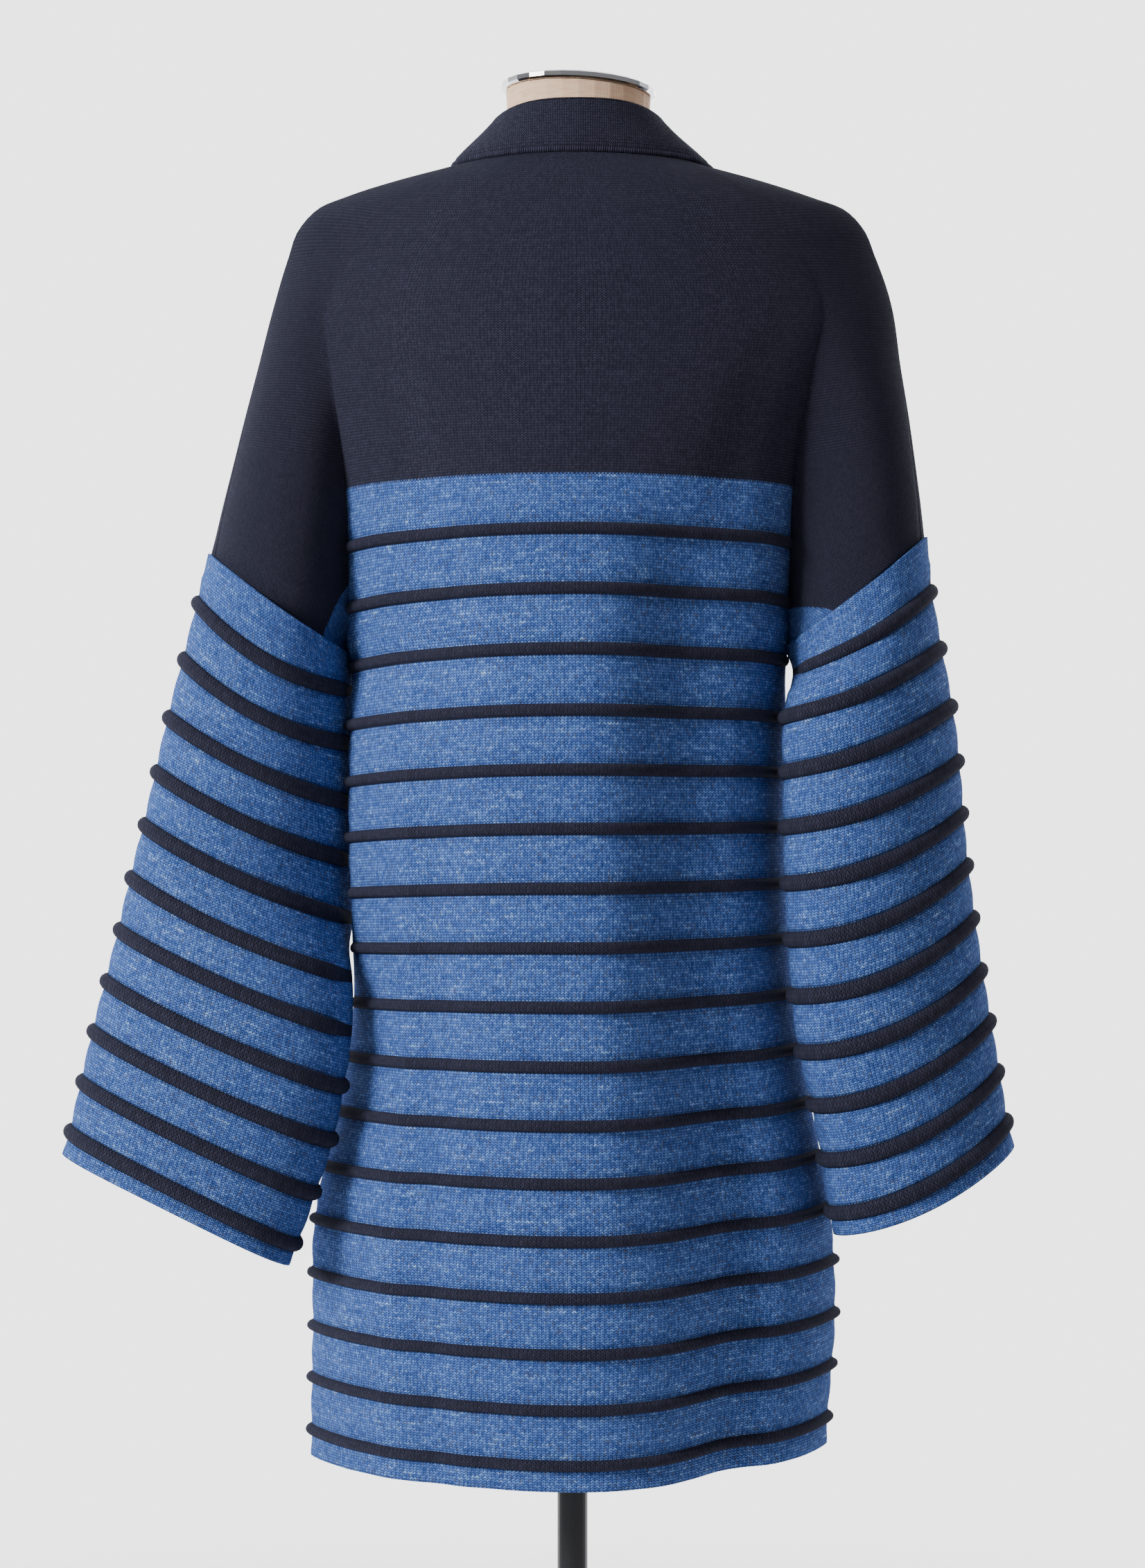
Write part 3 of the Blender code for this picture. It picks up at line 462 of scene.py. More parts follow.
def sheet_of_cloth(
    name, points, along, rows, material, closed=False, keep=None, shoulder=None, wall=YARN_WALL
):
    """A mesh from a grid of points in millimetres, with its place in the knitting as a UV map.
    keep says which squares are cloth. A second UV map says where the yarn changes: its u is the
    height in millimetres above the last navy course, and its v is 0 where there are no welts.
    shoulder holds the points' heights above the armhole seam, the rows to count there, and the
    squares they hold for."""
    count, span = points.shape[:2]
    if keep is None:
        keep = np.ones((count - 1, span if closed else span - 1), bool)
    i, j = np.nonzero(keep)
    after = (j + 1) % span

    def at_corners(values, after):
        return np.stack([values[i, j], values[i, after], values[i + 1, after], values[i + 1, j]], -1)

    corners = at_corners(np.arange(count * span).reshape(count, span), after)
    step = at_corners(along, j + 1)
    place = at_corners(rows, after)
    above = np.full(place.shape, NO_YOKE) if closed else YOKE_EDGE - place * BODY_PITCH
    welted = np.ones(place.shape)
    if shoulder is not None:
        height, drawn, chosen = shoulder
        chosen = chosen[i, j][:, None]
        place = np.where(chosen, at_corners(drawn, after), place)
        above = np.where(chosen, at_corners(height, after), above)
        welted = np.where(chosen, 0.0, welted)
    used, corners = np.unique(corners, return_inverse=True)
    corners = corners.reshape(-1, 4)
    mesh = bpy.data.meshes.new(name)
    mesh.vertices.add(len(used))
    mesh.vertices.foreach_set("co", (points.reshape(-1, 3)[used] * MM).ravel())
    mesh.loops.add(corners.size)
    mesh.loops.foreach_set("vertex_index", corners.ravel().astype(np.int32))
    mesh.polygons.add(len(corners))
    mesh.polygons.foreach_set("loop_start", np.arange(0, corners.size, 4, dtype=np.int32))
    mesh.update(calc_edges=True)
    for layer, u, v in (("knitting", step, place), ("seam", above, welted)):
        mesh.uv_layers.new(name=layer).data.foreach_set("uv", np.stack([u, v], -1).ravel())
    mesh.shade_smooth()
    mesh.materials.append(material)
    piece = bpy.data.objects.new(name, mesh)
    bpy.context.scene.collection.objects.link(piece)
    shell = piece.modifiers.new("yarn", "SOLIDIFY")
    shell.thickness = wall * MM
    shell.offset = -1
    shell.use_quality_normals = True
    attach(piece, "root")
    print(name, len(corners), "squares")
    return piece


# %% [markdown]
# ## What knitting looks like
#
# Stockinette shows columns of small V shapes. The blue is a marl: a light, a mid and a dark strand
# spun together, so the colour changes every few stitches along a course. The yoke, the welts and
# the band are a navy yarn with little contrast. All of it is wool: rough, with a soft sheen from
# the fibres that stand off the yarn.
#
# An image could hold the stitches, but it would blur on one view and repeat on the next. Here a
# few nodes count the wale and the course from the UV map. A stitch's two legs slant up and out, so
# the course is shifted by the distance from the wale's middle, and every V gets its own colour.

# %% Nodes and colours
def linear(hex_colour):
    """An sRGB hex colour as the linear values that a shader takes."""
    share = np.array([int(hex_colour[i : i + 2], 16) for i in (1, 3, 5)]) / 255
    value = np.where(share <= 0.04045, share / 12.92, ((share + 0.055) / 1.055) ** 2.4)
    return (*value.tolist(), 1.0)


def fresh(name):
    """A new material, with its node tree and its shader."""
    material = bpy.data.materials.new(name)
    material.use_nodes = True
    return material, material.node_tree, material.node_tree.nodes["Principled BSDF"]


def add(tree, kind, settings=None, **links):
    """Adds one node. settings holds its properties, links its inputs: values, or sockets to join.
    An input is named by its label, or by its place as _0, _1 where labels repeat."""
    node = tree.nodes.new(kind)
    for key, value in (settings or {}).items():
        setattr(node, key, value)
    for key, value in links.items():
        name = key.replace("_", " ").strip()
        socket = node.inputs[int(name)] if name.isdigit() else node.inputs[name]
        if isinstance(value, bpy.types.NodeSocket):
            tree.links.new(value, socket)
        else:
            socket.default_value = value
    return node


def give(shader, **values):
    """Sets a shader's own inputs, each named by its label."""
    for key, value in values.items():
        shader.inputs[key.replace("_", " ")].default_value = value


def reckon(tree, operation, *values):
    """The result of one Math node."""
    links = {f"_{i}": value for i, value in enumerate(values)}
    return add(tree, "ShaderNodeMath", {"operation": operation}, **links).outputs[0]


def times(tree, first, second):
    return reckon(tree, "MULTIPLY", first, second)


def object_place(tree):
    return add(tree, "ShaderNodeTexCoord").outputs["Object"]


def noise(tree, where, scale, detail, rough=0.5):
    grain = {"Scale": scale, "Detail": detail, "Roughness": rough}
    return add(tree, "ShaderNodeTexNoise", None, Vector=where, **grain).outputs["Fac"]


def link(tree, shader, colour, bump):
    tree.links.new(colour, shader.inputs["Base Color"])
    tree.links.new(bump.outputs[0], shader.inputs["Normal"])


def ramp(tree, value, *stops):
    """A colour ramp: each stop is a place and a hex colour."""
    node = add(tree, "ShaderNodeValToRGB", None, Fac=value)
    points = node.color_ramp.elements
    while len(points) < len(stops):
        points.new(0.5)
    for point, (place, colour) in zip(points, stops):
        point.position = place
        point.color = linear(colour)
    return node.outputs["Color"]


def blend(tree, share, first, second, how="MIX"):
    """One colour mixed with another by a share."""
    kind = {"data_type": "RGBA", "blend_type": how}
    return add(tree, "ShaderNodeMix", kind, _0=share, _6=first, _7=second).outputs[2]


# %% [markdown]
# The stitches' own height is the bump: round legs with a groove down the middle of each wale and
# between two wales. At the size of this picture a stitch is only a few pixels wide, so the bump
# gives the surface its grain, and the colour of each stitch does the rest.

# %% Wool, knitted: the blue marl with navy welts and yoke
MARL_STOPS = (
    (0.00, "#24386e"), (0.25, "#38569a"), (0.48, "#4d6db4"),
    (0.66, "#6286cc"), (0.84, "#8cb0ea"), (1.0, "#cfe4fa"),
)
NAVY_STOPS = ((0.0, "#1c1c27"), (0.40, "#2d2d3d"), (0.70, "#3b3b4d"), (1.0, "#4e4e62"))
MARL_FLECK = "#5c5a60"
FLECKED_SHARE = 0.07
# How steeply a stitch's leg slants, in courses to a wale, on flat knitting and on a welt, and the
# height of a welt's own courses in millimetres.
LEG_SLANT = 1.2
WELT_SLANT = 1.9
WELT_COURSE = 2.0
# Two strands, each with its scale along the course and its step from one course to the next.
STRANDS = ((0.12, 9.37), (0.035, 5.71))
DASH_FROM = 0.56
DASH_GAIN = 1.7


def counted_stitches(tree, place, wale, courses):
    """The wale's number, the distance from its middle, and the course, which slants up each leg."""
    wales = reckon(tree, "DIVIDE", place.outputs["X"], wale)
    course = times(tree, place.outputs["Y"], courses)
    middle = reckon(tree, "ABSOLUTE", reckon(tree, "SUBTRACT", reckon(tree, "FRACT", wales), 0.5))
    slanted = reckon(tree, "SUBTRACT", course, times(tree, middle, LEG_SLANT))
    return wales, middle, slanted


def yarn_tones(tree, leg_number, stitch_number):
    """Two numbers for a stitch: its leg's own, and the strand's. A strand's tone lasts for a few
    stitches along a course, and now and then for a dozen, as a light dash."""
    leg = add(tree, "ShaderNodeCombineXYZ", None, X=leg_number, Y=stitch_number, Z=0.5).outputs[0]
    own = add(tree, "ShaderNodeTexWhiteNoise", {"noise_dimensions": "3D"}, Vector=leg)
    tones = []
    for stretch, apart in STRANDS:
        along = times(tree, leg_number, stretch)
        across = times(tree, stitch_number, apart)
        spot = add(tree, "ShaderNodeCombineXYZ", None, X=along, Y=across, Z=apart).outputs[0]
        tones.append(noise(tree, spot, 1.0, 2.0, 0.7))
    past = reckon(tree, "MAXIMUM", reckon(tree, "SUBTRACT", tones[1], DASH_FROM), 0.0)
    return own.outputs["Value"], reckon(tree, "MULTIPLY_ADD", past, DASH_GAIN, tones[0])


def welt_masks(tree, place, slanted, courses):
    """Where the knitting is navy, and where it is a welt, with the distance from the welt's crest
    in millimetres, above it or below. A welt's edge is its own fold. The yoke's edge goes round
    whole stitches, so a point counts by the height of its stitch's middle."""
    row = place.outputs["Y"]
    seam = add(tree, "ShaderNodeUVMap", {"uv_map": "seam"}).outputs[0]
    seam = add(tree, "ShaderNodeSeparateXYZ", None, Vector=seam)
    from_welt = reckon(tree, "SUBTRACT", reckon(tree, "FRACT", reckon(tree, "ADD", row, 0.5)), 0.5)
    from_crest = times(tree, from_welt, BODY_PITCH)
    near = reckon(tree, "LESS_THAN", reckon(tree, "ABSOLUTE", from_crest), WELT_HALF * 1.04)
    in_welt = times(tree, near, reckon(tree, "GREATER_THAN", row, 0.5))
    in_welt = times(tree, in_welt, seam.outputs["Y"])
    in_stitch = reckon(tree, "SUBTRACT", reckon(tree, "FRACT", slanted), 0.5)
    in_stitch = times(tree, in_stitch, BODY_PITCH / courses)
    in_yoke = reckon(tree, "GREATER_THAN", reckon(tree, "ADD", seam.outputs["X"], in_stitch), 0.0)
    return reckon(tree, "MAXIMUM", in_welt, in_yoke), in_welt, from_crest


def knitted_wool(name, all_navy=False, courses=COURSES, wale=WALE):
    """Knitting drawn from the UV map: u in millimetres along the row, v in rows."""
    material, tree, shader = fresh(name)
    uv = add(tree, "ShaderNodeUVMap", {"uv_map": "knitting"}).outputs[0]
    place = add(tree, "ShaderNodeSeparateXYZ", None, Vector=uv)
    wales, middle, slanted = counted_stitches(tree, place, wale, courses)
    if not all_navy:
        in_navy, in_welt, from_crest = welt_masks(tree, place, slanted, courses)
        # A welt is knitted in courses of its own, drawn tighter, so its stitches lean more.
        on_welt = reckon(tree, "DIVIDE", from_crest, WELT_COURSE)
        on_welt = reckon(tree, "SUBTRACT", on_welt, times(tree, middle, WELT_SLANT))
        kind = {"data_type": "FLOAT"}
        slanted = add(tree, "ShaderNodeMix", kind, _0=in_welt, _2=slanted, _3=on_welt).outputs[0]
    leg_number = reckon(tree, "FLOOR", times(tree, wales, 2))
    own, strand = yarn_tones(tree, leg_number, reckon(tree, "FLOOR", slanted))
    # A navy stitch differs little from the next. A blue one takes most of its tone from its strand.
    even = reckon(tree, "MULTIPLY_ADD", strand, 0.25, reckon(tree, "MULTIPLY_ADD", own, 0.30, 0.14))
    colour = ramp(tree, even, *NAVY_STOPS)
    if not all_navy:
        mixed = reckon(tree, "MULTIPLY_ADD", own, 0.40, -0.02)
        marl = ramp(tree, reckon(tree, "MULTIPLY_ADD", strand, 0.60, mixed), *MARL_STOPS)
        # A few greyish stitches, where the brown fleck of the yarn comes up.
        draw = reckon(tree, "FRACT", times(tree, own, 7.3))
        fleck = reckon(tree, "GREATER_THAN", draw, 1 - FLECKED_SHARE)
        marl = blend(tree, times(tree, fleck, 0.5), marl, linear(MARL_FLECK))
        colour = blend(tree, in_navy, marl, colour)
    # Each leg is round across the wale and along the slanted course. The groove between two wales
    # is deep, and the one down a wale's middle is shallow.
    leg = reckon(tree, "MULTIPLY_ADD", middle, 1.60, 0.17)
    leg = reckon(tree, "SINE", times(tree, leg, np.pi))
    bead = reckon(tree, "SINE", times(tree, reckon(tree, "FRACT", slanted), np.pi))
    height = times(tree, reckon(tree, "POWER", leg, 0.5), reckon(tree, "POWER", bead, 0.75))
    fuzz = noise(tree, object_place(tree), 2200.0, 3.0)
    height = reckon(tree, "MULTIPLY_ADD", fuzz, 0.3, height)
    # Light hardly reaches the grooves between the legs.
    shaded = reckon(tree, "MULTIPLY_ADD", height, 1.45, -0.18)
    grey = add(tree, "ShaderNodeCombineColor", None, Red=shaded, Green=shaded, Blue=shaded).outputs[0]
    colour = blend(tree, 0.9, colour, grey, "MULTIPLY")
    bump = add(tree, "ShaderNodeBump", None, Height=height, Strength=0.8, Distance=0.0009)
    link(tree, shader, colour, bump)
    give(shader, Roughness=0.95, Specular_IOR_Level=0.12)
    give(shader, Sheen_Weight=0.05, Sheen_Roughness=0.5, Sheen_Tint=linear("#9fb0d8"))
    return material


marl_wool = knitted_wool("blue marl wool with navy welts")
navy_wool = knitted_wool("navy wool band", all_navy=True, courses=25, wale=2.0)
print("materials:", marl_wool.name, "and", navy_wool.name)

# %% [markdown]
# ## The back
#
# The back panel is one piece from the collar to the hem, with half of each dropped shoulder. Below
# the underarm its two sides end at the side lines. The shoulders' parts are navy right down to the
# armhole seam, while the panel between them is already blue: two yarns meet in the valley.

# %% The back panel
# How many columns of points a half of the back, a front and a half of a dropped shoulder have, and
# how many more take a front over the top of its shoulder, with their distance in millimetres.
BACK_COLUMNS = 42
FRONT_COLUMNS = 30
SHOULDER_COLUMNS = 23
OVER_COLUMNS = 6
OVER_STEP = 4.5
# A sleeve presses the welts beside it flat, from a share of the way to the fold, over a further
# share. On the left of the back they are free between two rows, and on both sides from a third on.
PRESSED_FROM = 0.86
PRESSED_OVER = 0.12
FREE_ROWS = (3.5, 6.6)
FREE_FROM = 12.2


def body_rows():
    """Rows from the top to the hem, with one exactly at the underarm."""
    shoulders = np.linspace(TOP_ROW, -4.0, 22)[:-1]
    yoke = np.concatenate([shoulders, np.linspace(-4.0, 0.2, 34), (0.4, 0.6, 0.75)])
    rows = welted_rows(yoke, 1, WELTS_ON_BODY, BODY_PITCH, HEM_ROW)
    rows = rows[np.abs(rows - UNDERARM_ROW) > 0.02]
    return np.sort(np.append(rows, UNDERARM_ROW - 0.004))


def skin(side, face, across, rows):
    """The body's surface with its welts: the point moved out along its normal. Near the fold, and
    where a sleeve lies close, the welts die away."""
    left = SIGN[side]
    base = body_point(side, face, across, rows)
    normal = facing(base, left * SIGN[face])
    lengths = np.linalg.norm(np.diff(base, axis=1), axis=-1)
    measure = np.concatenate([np.zeros((len(rows), 1)), np.cumsum(lengths, 1)], 1)
    along = np.broadcast_to(measure[len(rows) // 2], measure.shape)
    lift = welt_lift(rows, along * left, WELTS_ON_BODY, BODY_PITCH)
    free = (rows > FREE_ROWS[0]) & (rows < FREE_ROWS[1]) & (side == "left") & (face == "back")
    free = free | (rows > FREE_FROM)
    pressed = soft((across - PRESSED_FROM) / PRESSED_OVER)
    fade = np.where(free, 1, 1 - pressed) * (across < 1.001)
    return base + normal * (lift * fade)[..., None], along * left


# Beside the fold, the seam runs up again round a small blue gusset. These points, each a distance
# from the middle and a height, say where on the shoulder's part of the back it is blue.
ARMHOLE_SEAM = {
    "left": ((150, 1168), (156, 1160), (170, 1131), (178, 1100), (260, 1100)),
    "right": ((150, 1145), (158, 1144), (172, 1141), (186, 1136), (192, 1100), (260, 1100)),
}
# How far the wales slant on a dropped shoulder, as a share of the pitch, and how far its courses
# dip, in rows.
SHOULDER_SLANT = 0.4
SHOULDER_DIP = 1.6


def seam_height(side, x):
    return np.interp(np.abs(x), *zip(*ARMHOLE_SEAM[side]))


def slanted_wales(side, along, across, rows):
    """On a dropped shoulder the wales slant in towards the fold, more the lower they lie."""
    slope = soft((across - 1) / 0.3) * np.maximum(rows + 4.5, 0)
    return along + SIGN[side] * SHOULDER_SLANT * BODY_PITCH * slope


def on_shoulder(keep, columns, rows):
    """Which of a dropped shoulder's squares are level with the blue. The shoulder ends at the
    underarm, so below that its squares are taken out of keep."""
    shoulder = np.zeros_like(keep)
    shoulder[:, columns] = True
    keep[shoulder & (rows[:-1, :-1] > UNDERARM_ROW - 0.01)] = False
    return shoulder & (rows[:-1, :-1] > -0.5)


def make_back():
    rows = body_rows()
    over_arm = np.linspace(1, RIDGE_SEAM, SHOULDER_COLUMNS + 1)[1:]
    across = np.concatenate([np.linspace(0.001, 1, BACK_COLUMNS), over_arm])
    across, rows = np.meshgrid(across, rows)
    halves = [back_half(side, across, rows) for side in ("right", "left")]
    points, along, above, dipped = (np.concatenate([r[:, :0:-1], l], 1) for r, l in zip(*halves))
    rows = np.repeat(rows[:, :1], points.shape[1], 1)
    keep = np.ones((rows.shape[0] - 1, rows.shape[1] - 1), bool)
    both = np.r_[:SHOULDER_COLUMNS, -SHOULDER_COLUMNS:0]
    shoulder = above, dipped, on_shoulder(keep, both, rows)
    return sheet_of_cloth("back", points, along, rows, marl_wool, keep=keep, shoulder=shoulder)


def dipped_courses(across, rows):
    """On a dropped shoulder the courses hang in a V, lowest halfway out: rows less a tent."""
    middle = (1 + RIDGE_SEAM) / 2
    tent = 1 - np.abs(across - middle) / (middle - 1)
    return rows - SHOULDER_DIP * np.sqrt(tent * tent + 0.02) * soft((rows + 4.5) / 2)


def back_half(side, across, rows):
    """One half of the back: its points, their places along the row, their heights above the seam,
    and the rows to draw on the shoulder."""
    points, along = skin(side, "back", across, rows)
    along = slanted_wales(side, along, across, rows)
    above = points[..., 2] - seam_height(side, points[..., 0])
    return points, along, above, dipped_courses(across, rows)


back = make_back()
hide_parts("back_panel")

# %% [markdown]
# ## The fronts
#
# A front starts at the band, runs round to the side line and, above the underarm, over the front of
# the dropped shoulder and on over its top, to the seam that it shares with the back.

# %% The two fronts
def make_front(side):
    rows = body_rows()
    first = across_at(side, rows, front_edge(side, rows) + 0.3)
    fold = np.maximum(1, first + 0.3 * (2 - first))
    on_body = first[:, None] + (fold - first)[:, None] * np.linspace(0, 1, FRONT_COLUMNS)
    share = np.linspace(0, 1, SHOULDER_COLUMNS + 1)[1:]
    on_arm = fold[:, None] + (2 - fold)[:, None] * share
    across = np.concatenate([on_body, on_arm], 1)
    grid = np.repeat(rows[:, None], across.shape[1], 1)
    points, along = skin(side, "front", across, grid)
    over, over_rows = np.meshgrid(np.linspace(2, RIDGE_SEAM, OVER_COLUMNS + 1)[1:], rows)
    points = np.concatenate([points, body_point(side, "back", over, over_rows)], 1)
    further = SIGN[side] * OVER_STEP * np.arange(1, OVER_COLUMNS + 1)
    along = np.concatenate([along, along[:, -1:] + further], 1)
    grid = np.repeat(rows[:, None], points.shape[1], 1)
    keep = np.ones((grid.shape[0] - 1, grid.shape[1] - 1), bool)
    chosen = on_shoulder(keep, slice(FRONT_COLUMNS - 1, None), grid)
    arrays = (points, along, grid, keep, chosen)
    if side == "left":
        arrays = [array[:, ::-1] for array in arrays]
    points, along, grid, keep, chosen = arrays
    shoulder = np.full(grid.shape, ALL_NAVY), grid, chosen
    name = side + "_front_panel"
    front = sheet_of_cloth(name, points, along, grid, marl_wool, keep=keep, shoulder=shoulder)
    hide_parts(side + "_front")
    return front


fronts = {side: make_front(side) for side in ("left", "right")}

# %% [markdown]
# ## The sleeves
#
# A sleeve is a tube with eleven welts, wide at the cuff. Its own rows slope with it.

# %% The two sleeves
# The body presses a sleeve's welts flat round this angle from its outer edge, in degrees. They are
# flat up to a distance from it and whole again after a further one, above a row for each side.
PRESSED_ANGLE = 188
PRESSED_HALF = 24
PRESSED_FADE = 20
PRESSED_ABOVE = {"left": 7.5, "right": 1.5}


def make_sleeve(side):
    first_rows = np.concatenate([(0.0, 0.03), np.linspace(0.1, 0.8, 6)])
    rows = welted_rows(first_rows, 1, WELTS_ON_SLEEVE, SLEEVE_PITCH, CUFF_ROW)
    around = np.linspace(0, 2 * np.pi, 97)[:-1]
    around, grid = np.meshgrid(around, rows)
    base = sleeve_point(side, around, grid)
    wrapped = np.concatenate([base[:, -1:], base, base[:, :1]], 1)
    normal = facing(wrapped, -SIGN[side])[:, 1:-1]
    lengths = np.linalg.norm(np.diff(np.concatenate([base, base[:, :1]], 1), axis=1), axis=-1)
    along = np.concatenate([np.zeros((len(rows), 1)), np.cumsum(lengths, 1)], 1)
    along = np.broadcast_to(along[len(rows) // 2], along.shape)
    lift = welt_lift(grid, along[:, :-1], WELTS_ON_SLEEVE, SLEEVE_PITCH)
    from_body = np.abs(np.degrees(around) - PRESSED_ANGLE)
    whole = soft((from_body - PRESSED_HALF) / PRESSED_FADE)
    fade = np.where(grid < PRESSED_ABOVE[side], whole, 1.0)
    points = base + normal * (lift * fade)[..., None]
    if side == "right":
        points, along, grid = points[:, ::-1], along[:, ::-1], grid[:, ::-1]
    sleeve = sheet_of_cloth(side + "_sleeve_tube", points, along, grid, marl_wool, closed=True)
    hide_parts(side + "_sleeve")
    return sleeve


sleeves = {side: make_sleeve(side) for side in ("left", "right")}

# %% [markdown]
# ## The collar and front band
#
# One strip of finer, denser navy knitting runs up one front, round the neck and down the other. At
# the back of the neck it stands up against the form. It is a ruled strip: at each station a
# straight line joins its sewn edge to its free edge, dished a little where it turns at the neck.
# Both edges are rounded, and a small ridge runs along the seam.

# %% The band
# Places across the band, from its sewn edge to its free one, and how far each is raised.
BAND_SHARES = (-0.02, 0.0, 0.05, 0.1, 0.16, 0.3, 0.45, 0.6, 0.75, 0.88, 0.95, 0.985, 1.0)
BAND_RAISE = (-0.9, 0.3, 1.5, 1.2, 0.4, 0.5, 0.6, 0.6, 0.5, 0.5, 0.3, -0.2, -1.1)


def band_half(side):
    """The band's sewn edge, free edge and dish, from the middle of the back to the hem."""
    left = SIGN[side]
    stations = []
    for x, (wide, deep, up), dish in NECK_BAND_BACK:
        across = across_at(side, TOP_ROW, abs(x + left * FORM_MIDDLE))
        sewn = body_point(side if x else "right", "back", across, TOP_ROW)
        stations.append((sewn, (left * wide + FORM_MIDDLE, deep, up), dish))
    for row, (wide, deep, up), dish in NECK_BAND_FRONT:
        sewn = body_point(side, "front", across_at(side, row, front_edge(side, row) - 0.4), row)
        stations.append((sewn, (left * wide + FORM_MIDDLE, deep, up), dish))
    for row in BAND_ROWS:
        edges = front_edge(side, row) - 0.4, front_edge(side, row) - BAND_WIDTH
        sewn, free = (body_point(side, "front", across_at(side, row, x), row) for x in edges)
        stations.append((sewn, free, 0))
    return stations


def smooth_path(values, steps):
    """Points added between stations by a cubic through them, evenly in the stations' number."""
    at = np.linspace(0, len(values) - 1, (len(values) - 1) * steps + 1)
    i = np.minimum(at.astype(int), len(values) - 2)
    slopes = np.gradient(values, axis=0)
    share = (at - i).reshape(-1, *([1] * (values.ndim - 1)))
    return cubic(share, values[i], slopes[i], values[i + 1], slopes[i + 1])


def make_band():
    stations = band_half("left")[:0:-1] + band_half("right")
    sewn, free, dish = (smooth_path(np.array(values, float), 6) for values in zip(*stations))
    share = np.array(BAND_SHARES)[None, :, None]
    grid = sewn[:, None] + (free - sewn)[:, None] * share
    normal = facing(grid, 1)
    raised = np.array(BAND_RAISE)[None, :, None] - dish[:, None, None] * 4 * share * (1 - share)
    points = grid + normal * raised
    middle = points[:, len(BAND_SHARES) // 2]
    run = np.concatenate([[0], np.cumsum(np.linalg.norm(np.diff(middle, axis=0), axis=-1))])
    along = np.repeat(share[..., 0] * BAND_WIDTH, len(points), 0)
    rows = np.repeat(run[:, None] / BODY_PITCH, len(BAND_SHARES), 1)
    return sheet_of_cloth("collar_and_band", points, along, rows, navy_wool, wall=BAND_WALL)


band = make_band()
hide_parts("neck_band")

# %% [markdown]
# ## The form and its stand
#
# The torso is padded and covered in unbleached linen: a plain weave whose threads are 0.6 mm apart.
# The neck ends in a polished chrome plate. The pole, its collar and the base are steel with a
# satin black powder coat. Their solids already have the right shape, so they only get materials.

# %% Linen, chrome and black steel
def woven_linen():
    """Two sets of threads, as two Wave textures at right angles, and slubs as a stretched noise."""
    material, tree, shader = fresh("unbleached linen")
    where = object_place(tree)
    thread = {"Scale": 260.0, "Distortion": 1.2, "Detail": 2.0, "Detail_Scale": 3.0}
    threads = []
    for direction in "ZX":
        bands = {"wave_type": "BANDS", "bands_direction": direction}
        wave = add(tree, "ShaderNodeTexWave", bands, Vector=where, **thread)
        threads.append(wave.outputs["Fac"])
    weave = reckon(tree, "MAXIMUM", *threads)
    stretched = add(tree, "ShaderNodeMapping", None, Vector=where, Scale=(90.0, 90.0, 700.0))
    slub = noise(tree, stretched.outputs[0], 1.0, 4.0)
    tone = reckon(tree, "MULTIPLY_ADD", slub, 0.75, times(tree, weave, 0.25))
    colour = ramp(tree, tone, (0.2, "#dfae8a"), (0.5, "#f8cda8"), (0.8, "#ffe4c8"))
    bump = add(tree, "ShaderNodeBump", None, Height=weave, Strength=0.5, Distance=0.0004)
    link(tree, shader, colour, bump)
    give(shader, Roughness=0.85, Sheen_Weight=0.1)
    return material


def polished_chrome():
    """Chrome plate: a sharp mirror, with faint wiping marks in its roughness."""
    material, tree, shader = fresh("polished chrome plate")
    smear = noise(tree, object_place(tree), 60.0, 3.0)
    tree.links.new(reckon(tree, "MULTIPLY_ADD", smear, 0.12, 0.06), shader.inputs["Roughness"])
    give(shader, Base_Color=linear("#dcdde0"), Metallic=1.0)
    return material


def black_steel():
    """Powder-coated steel: a fine orange peel in the bump and a satin gloss."""
    material, tree, shader = fresh("black powder-coated steel")
    peel = noise(tree, object_place(tree), 900.0, 2.0)
    bump = add(tree, "ShaderNodeBump", None, Height=peel, Strength=0.25, Distance=0.0002)
    link(tree, shader, ramp(tree, peel, (0.3, "#17181a"), (0.7, "#202124")), bump)
    give(shader, Roughness=0.38)
    return material


FINISHES = {
    "form_torso": woven_linen(), "neck_plate": polished_chrome(),
    "pole": black_steel(), "pole_collar": black_steel(), "base": black_steel(),
}
for node, material in FINISHES.items():
    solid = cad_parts[node]
    solid.data.materials.clear()
    solid.data.materials.append(material)
print("finished solids:", sorted(FINISHES))

# %% [markdown]

# %% [markdown]
# ## Camera, light and floor
#
# The picture is taken level, from 2 m behind, with the lens at 0.96 m. The camera stays level so
# that upright lines stay upright, and a small vertical shift puts the garment in the frame. The key
# light comes from the picture's upper left. Wide, weak ones fill in from the right and from above,
# and one more lights the side that this picture doesn't see.

# %% The studio
CAMERA_AWAY = 2.0
CAMERA_UP = 0.96
CAMERA_LENS = 66.3
CAMERA_SHIFT = 0.0612
PAPER_BRIGHT = 3.5
PAPER_DIM = 0.28
FLOOR_RADIUS = 2.5
FLOOR_FADES = (0.8, 2.4)
camera = bpy.data.objects.new("camera", bpy.data.cameras.new("camera"))
bpy.context.scene.collection.objects.link(camera)
camera.location = (0, CAMERA_AWAY, CAMERA_UP)
camera.rotation_euler = (np.radians(90), 0, np.radians(180))
camera.data.lens = CAMERA_LENS
camera.data.sensor_width = 36
camera.data.shift_y = CAMERA_SHIFT
bpy.context.scene.camera = camera


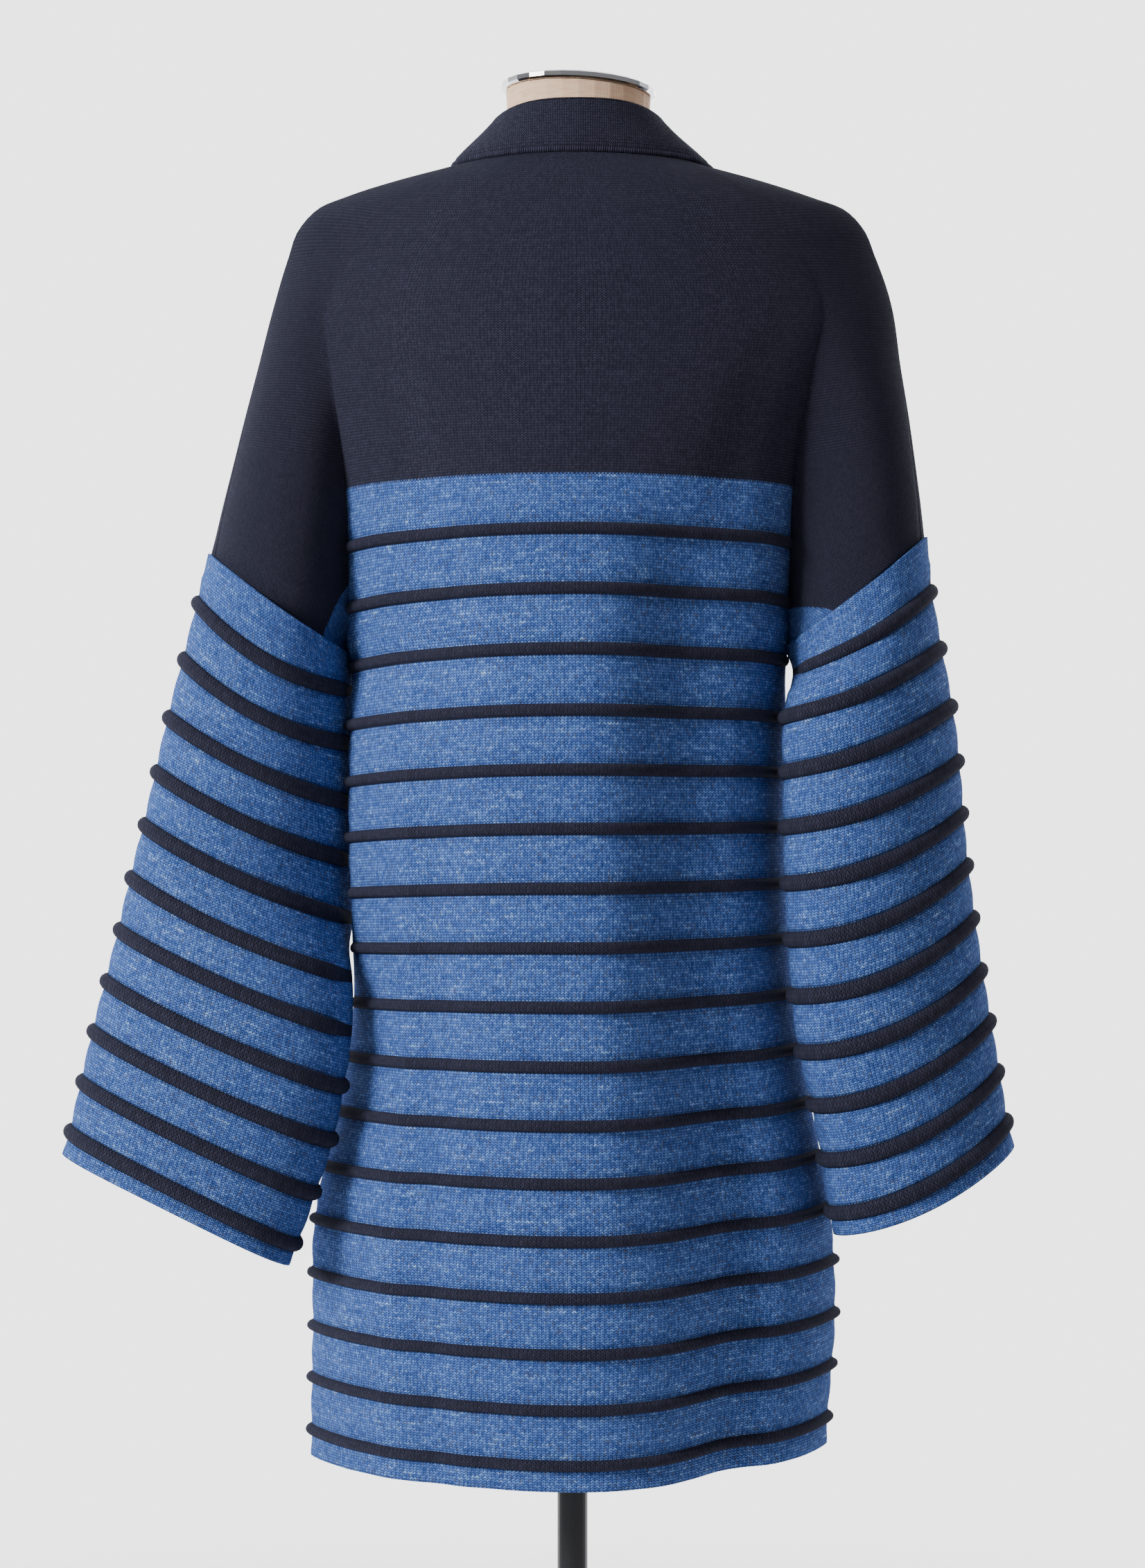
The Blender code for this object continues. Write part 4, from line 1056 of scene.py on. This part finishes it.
def soft_light(name, place, target, size, power, colour="#ffffff"):
    """A square area light that faces a target."""
    light = bpy.data.objects.new(name, bpy.data.lights.new(name, "AREA"))
    light.data.size = size
    light.data.energy = power
    light.data.color = linear(colour)[:3]
    light.location = place
    aim = Vector(target) - Vector(place)
    light.rotation_euler = aim.to_track_quat("-Z", "Y").to_euler()
    bpy.context.scene.collection.objects.link(light)


soft_light("key", (1.97, 1.30, 1.75), (0, 0, 1.0), 0.7, 76)
soft_light("fill", (-2.0, 1.7, 1.2), (0, 0, 1.0), 1.6, 3, "#ffd6c8")
soft_light("top", (0.3, 0.9, 2.8), (0, 0, 1.2), 1.2, 9)
soft_light("front", (-0.9, -2.2, 2.0), (0, 0, 1.0), 1.6, 18)


def studio_world():
    """Background paper all round: bright behind the object as this picture sees it, and dimmer
    towards the camera. The direction's Y says which."""
    world = bpy.data.worlds.new("pale studio paper")
    world.use_nodes = True
    tree = world.node_tree
    background = tree.nodes["Background"]
    direction = add(tree, "ShaderNodeTexCoord").outputs["Generated"]
    ahead = add(tree, "ShaderNodeSeparateXYZ", None, Vector=direction).outputs["Y"]
    smooth = {"interpolation_type": "SMOOTHSTEP"}
    limits = {"From_Min": -0.85, "From_Max": -0.1, "To_Min": PAPER_BRIGHT, "To_Max": PAPER_DIM}
    strength = add(tree, "ShaderNodeMapRange", smooth, Value=ahead, **limits).outputs[0]
    tree.links.new(strength, background.inputs["Strength"])
    background.inputs["Color"].default_value = linear("#f3f3f6")
    return world


bpy.context.scene.world = studio_world()


def pale_floor():
    """Matt white floor paint on a round floor. It thins out with the distance from the middle, so
    that no edge shows where the floor goes over into the background paper."""
    material, tree, shader = fresh("matt white floor paint")
    where = object_place(tree)
    away = add(tree, "ShaderNodeVectorMath", {"operation": "LENGTH"}, _0=where).outputs["Value"]
    smooth = {"interpolation_type": "SMOOTHSTEP"}
    limits = {"From_Min": FLOOR_FADES[0], "From_Max": FLOOR_FADES[1], "To_Min": 1.0, "To_Max": 0.0}
    solid = add(tree, "ShaderNodeMapRange", smooth, Value=away, **limits)
    tree.links.new(solid.outputs[0], shader.inputs["Alpha"])
    give(shader, Base_Color=linear("#ececee"), Roughness=0.8)
    return material


bpy.ops.mesh.primitive_circle_add(vertices=96, radius=FLOOR_RADIUS, fill_type="NGON")
floor = bpy.context.object
floor.name = "floor"
floor.data.materials.append(pale_floor())
print("camera:", tuple(round(v, 2) for v in camera.location))
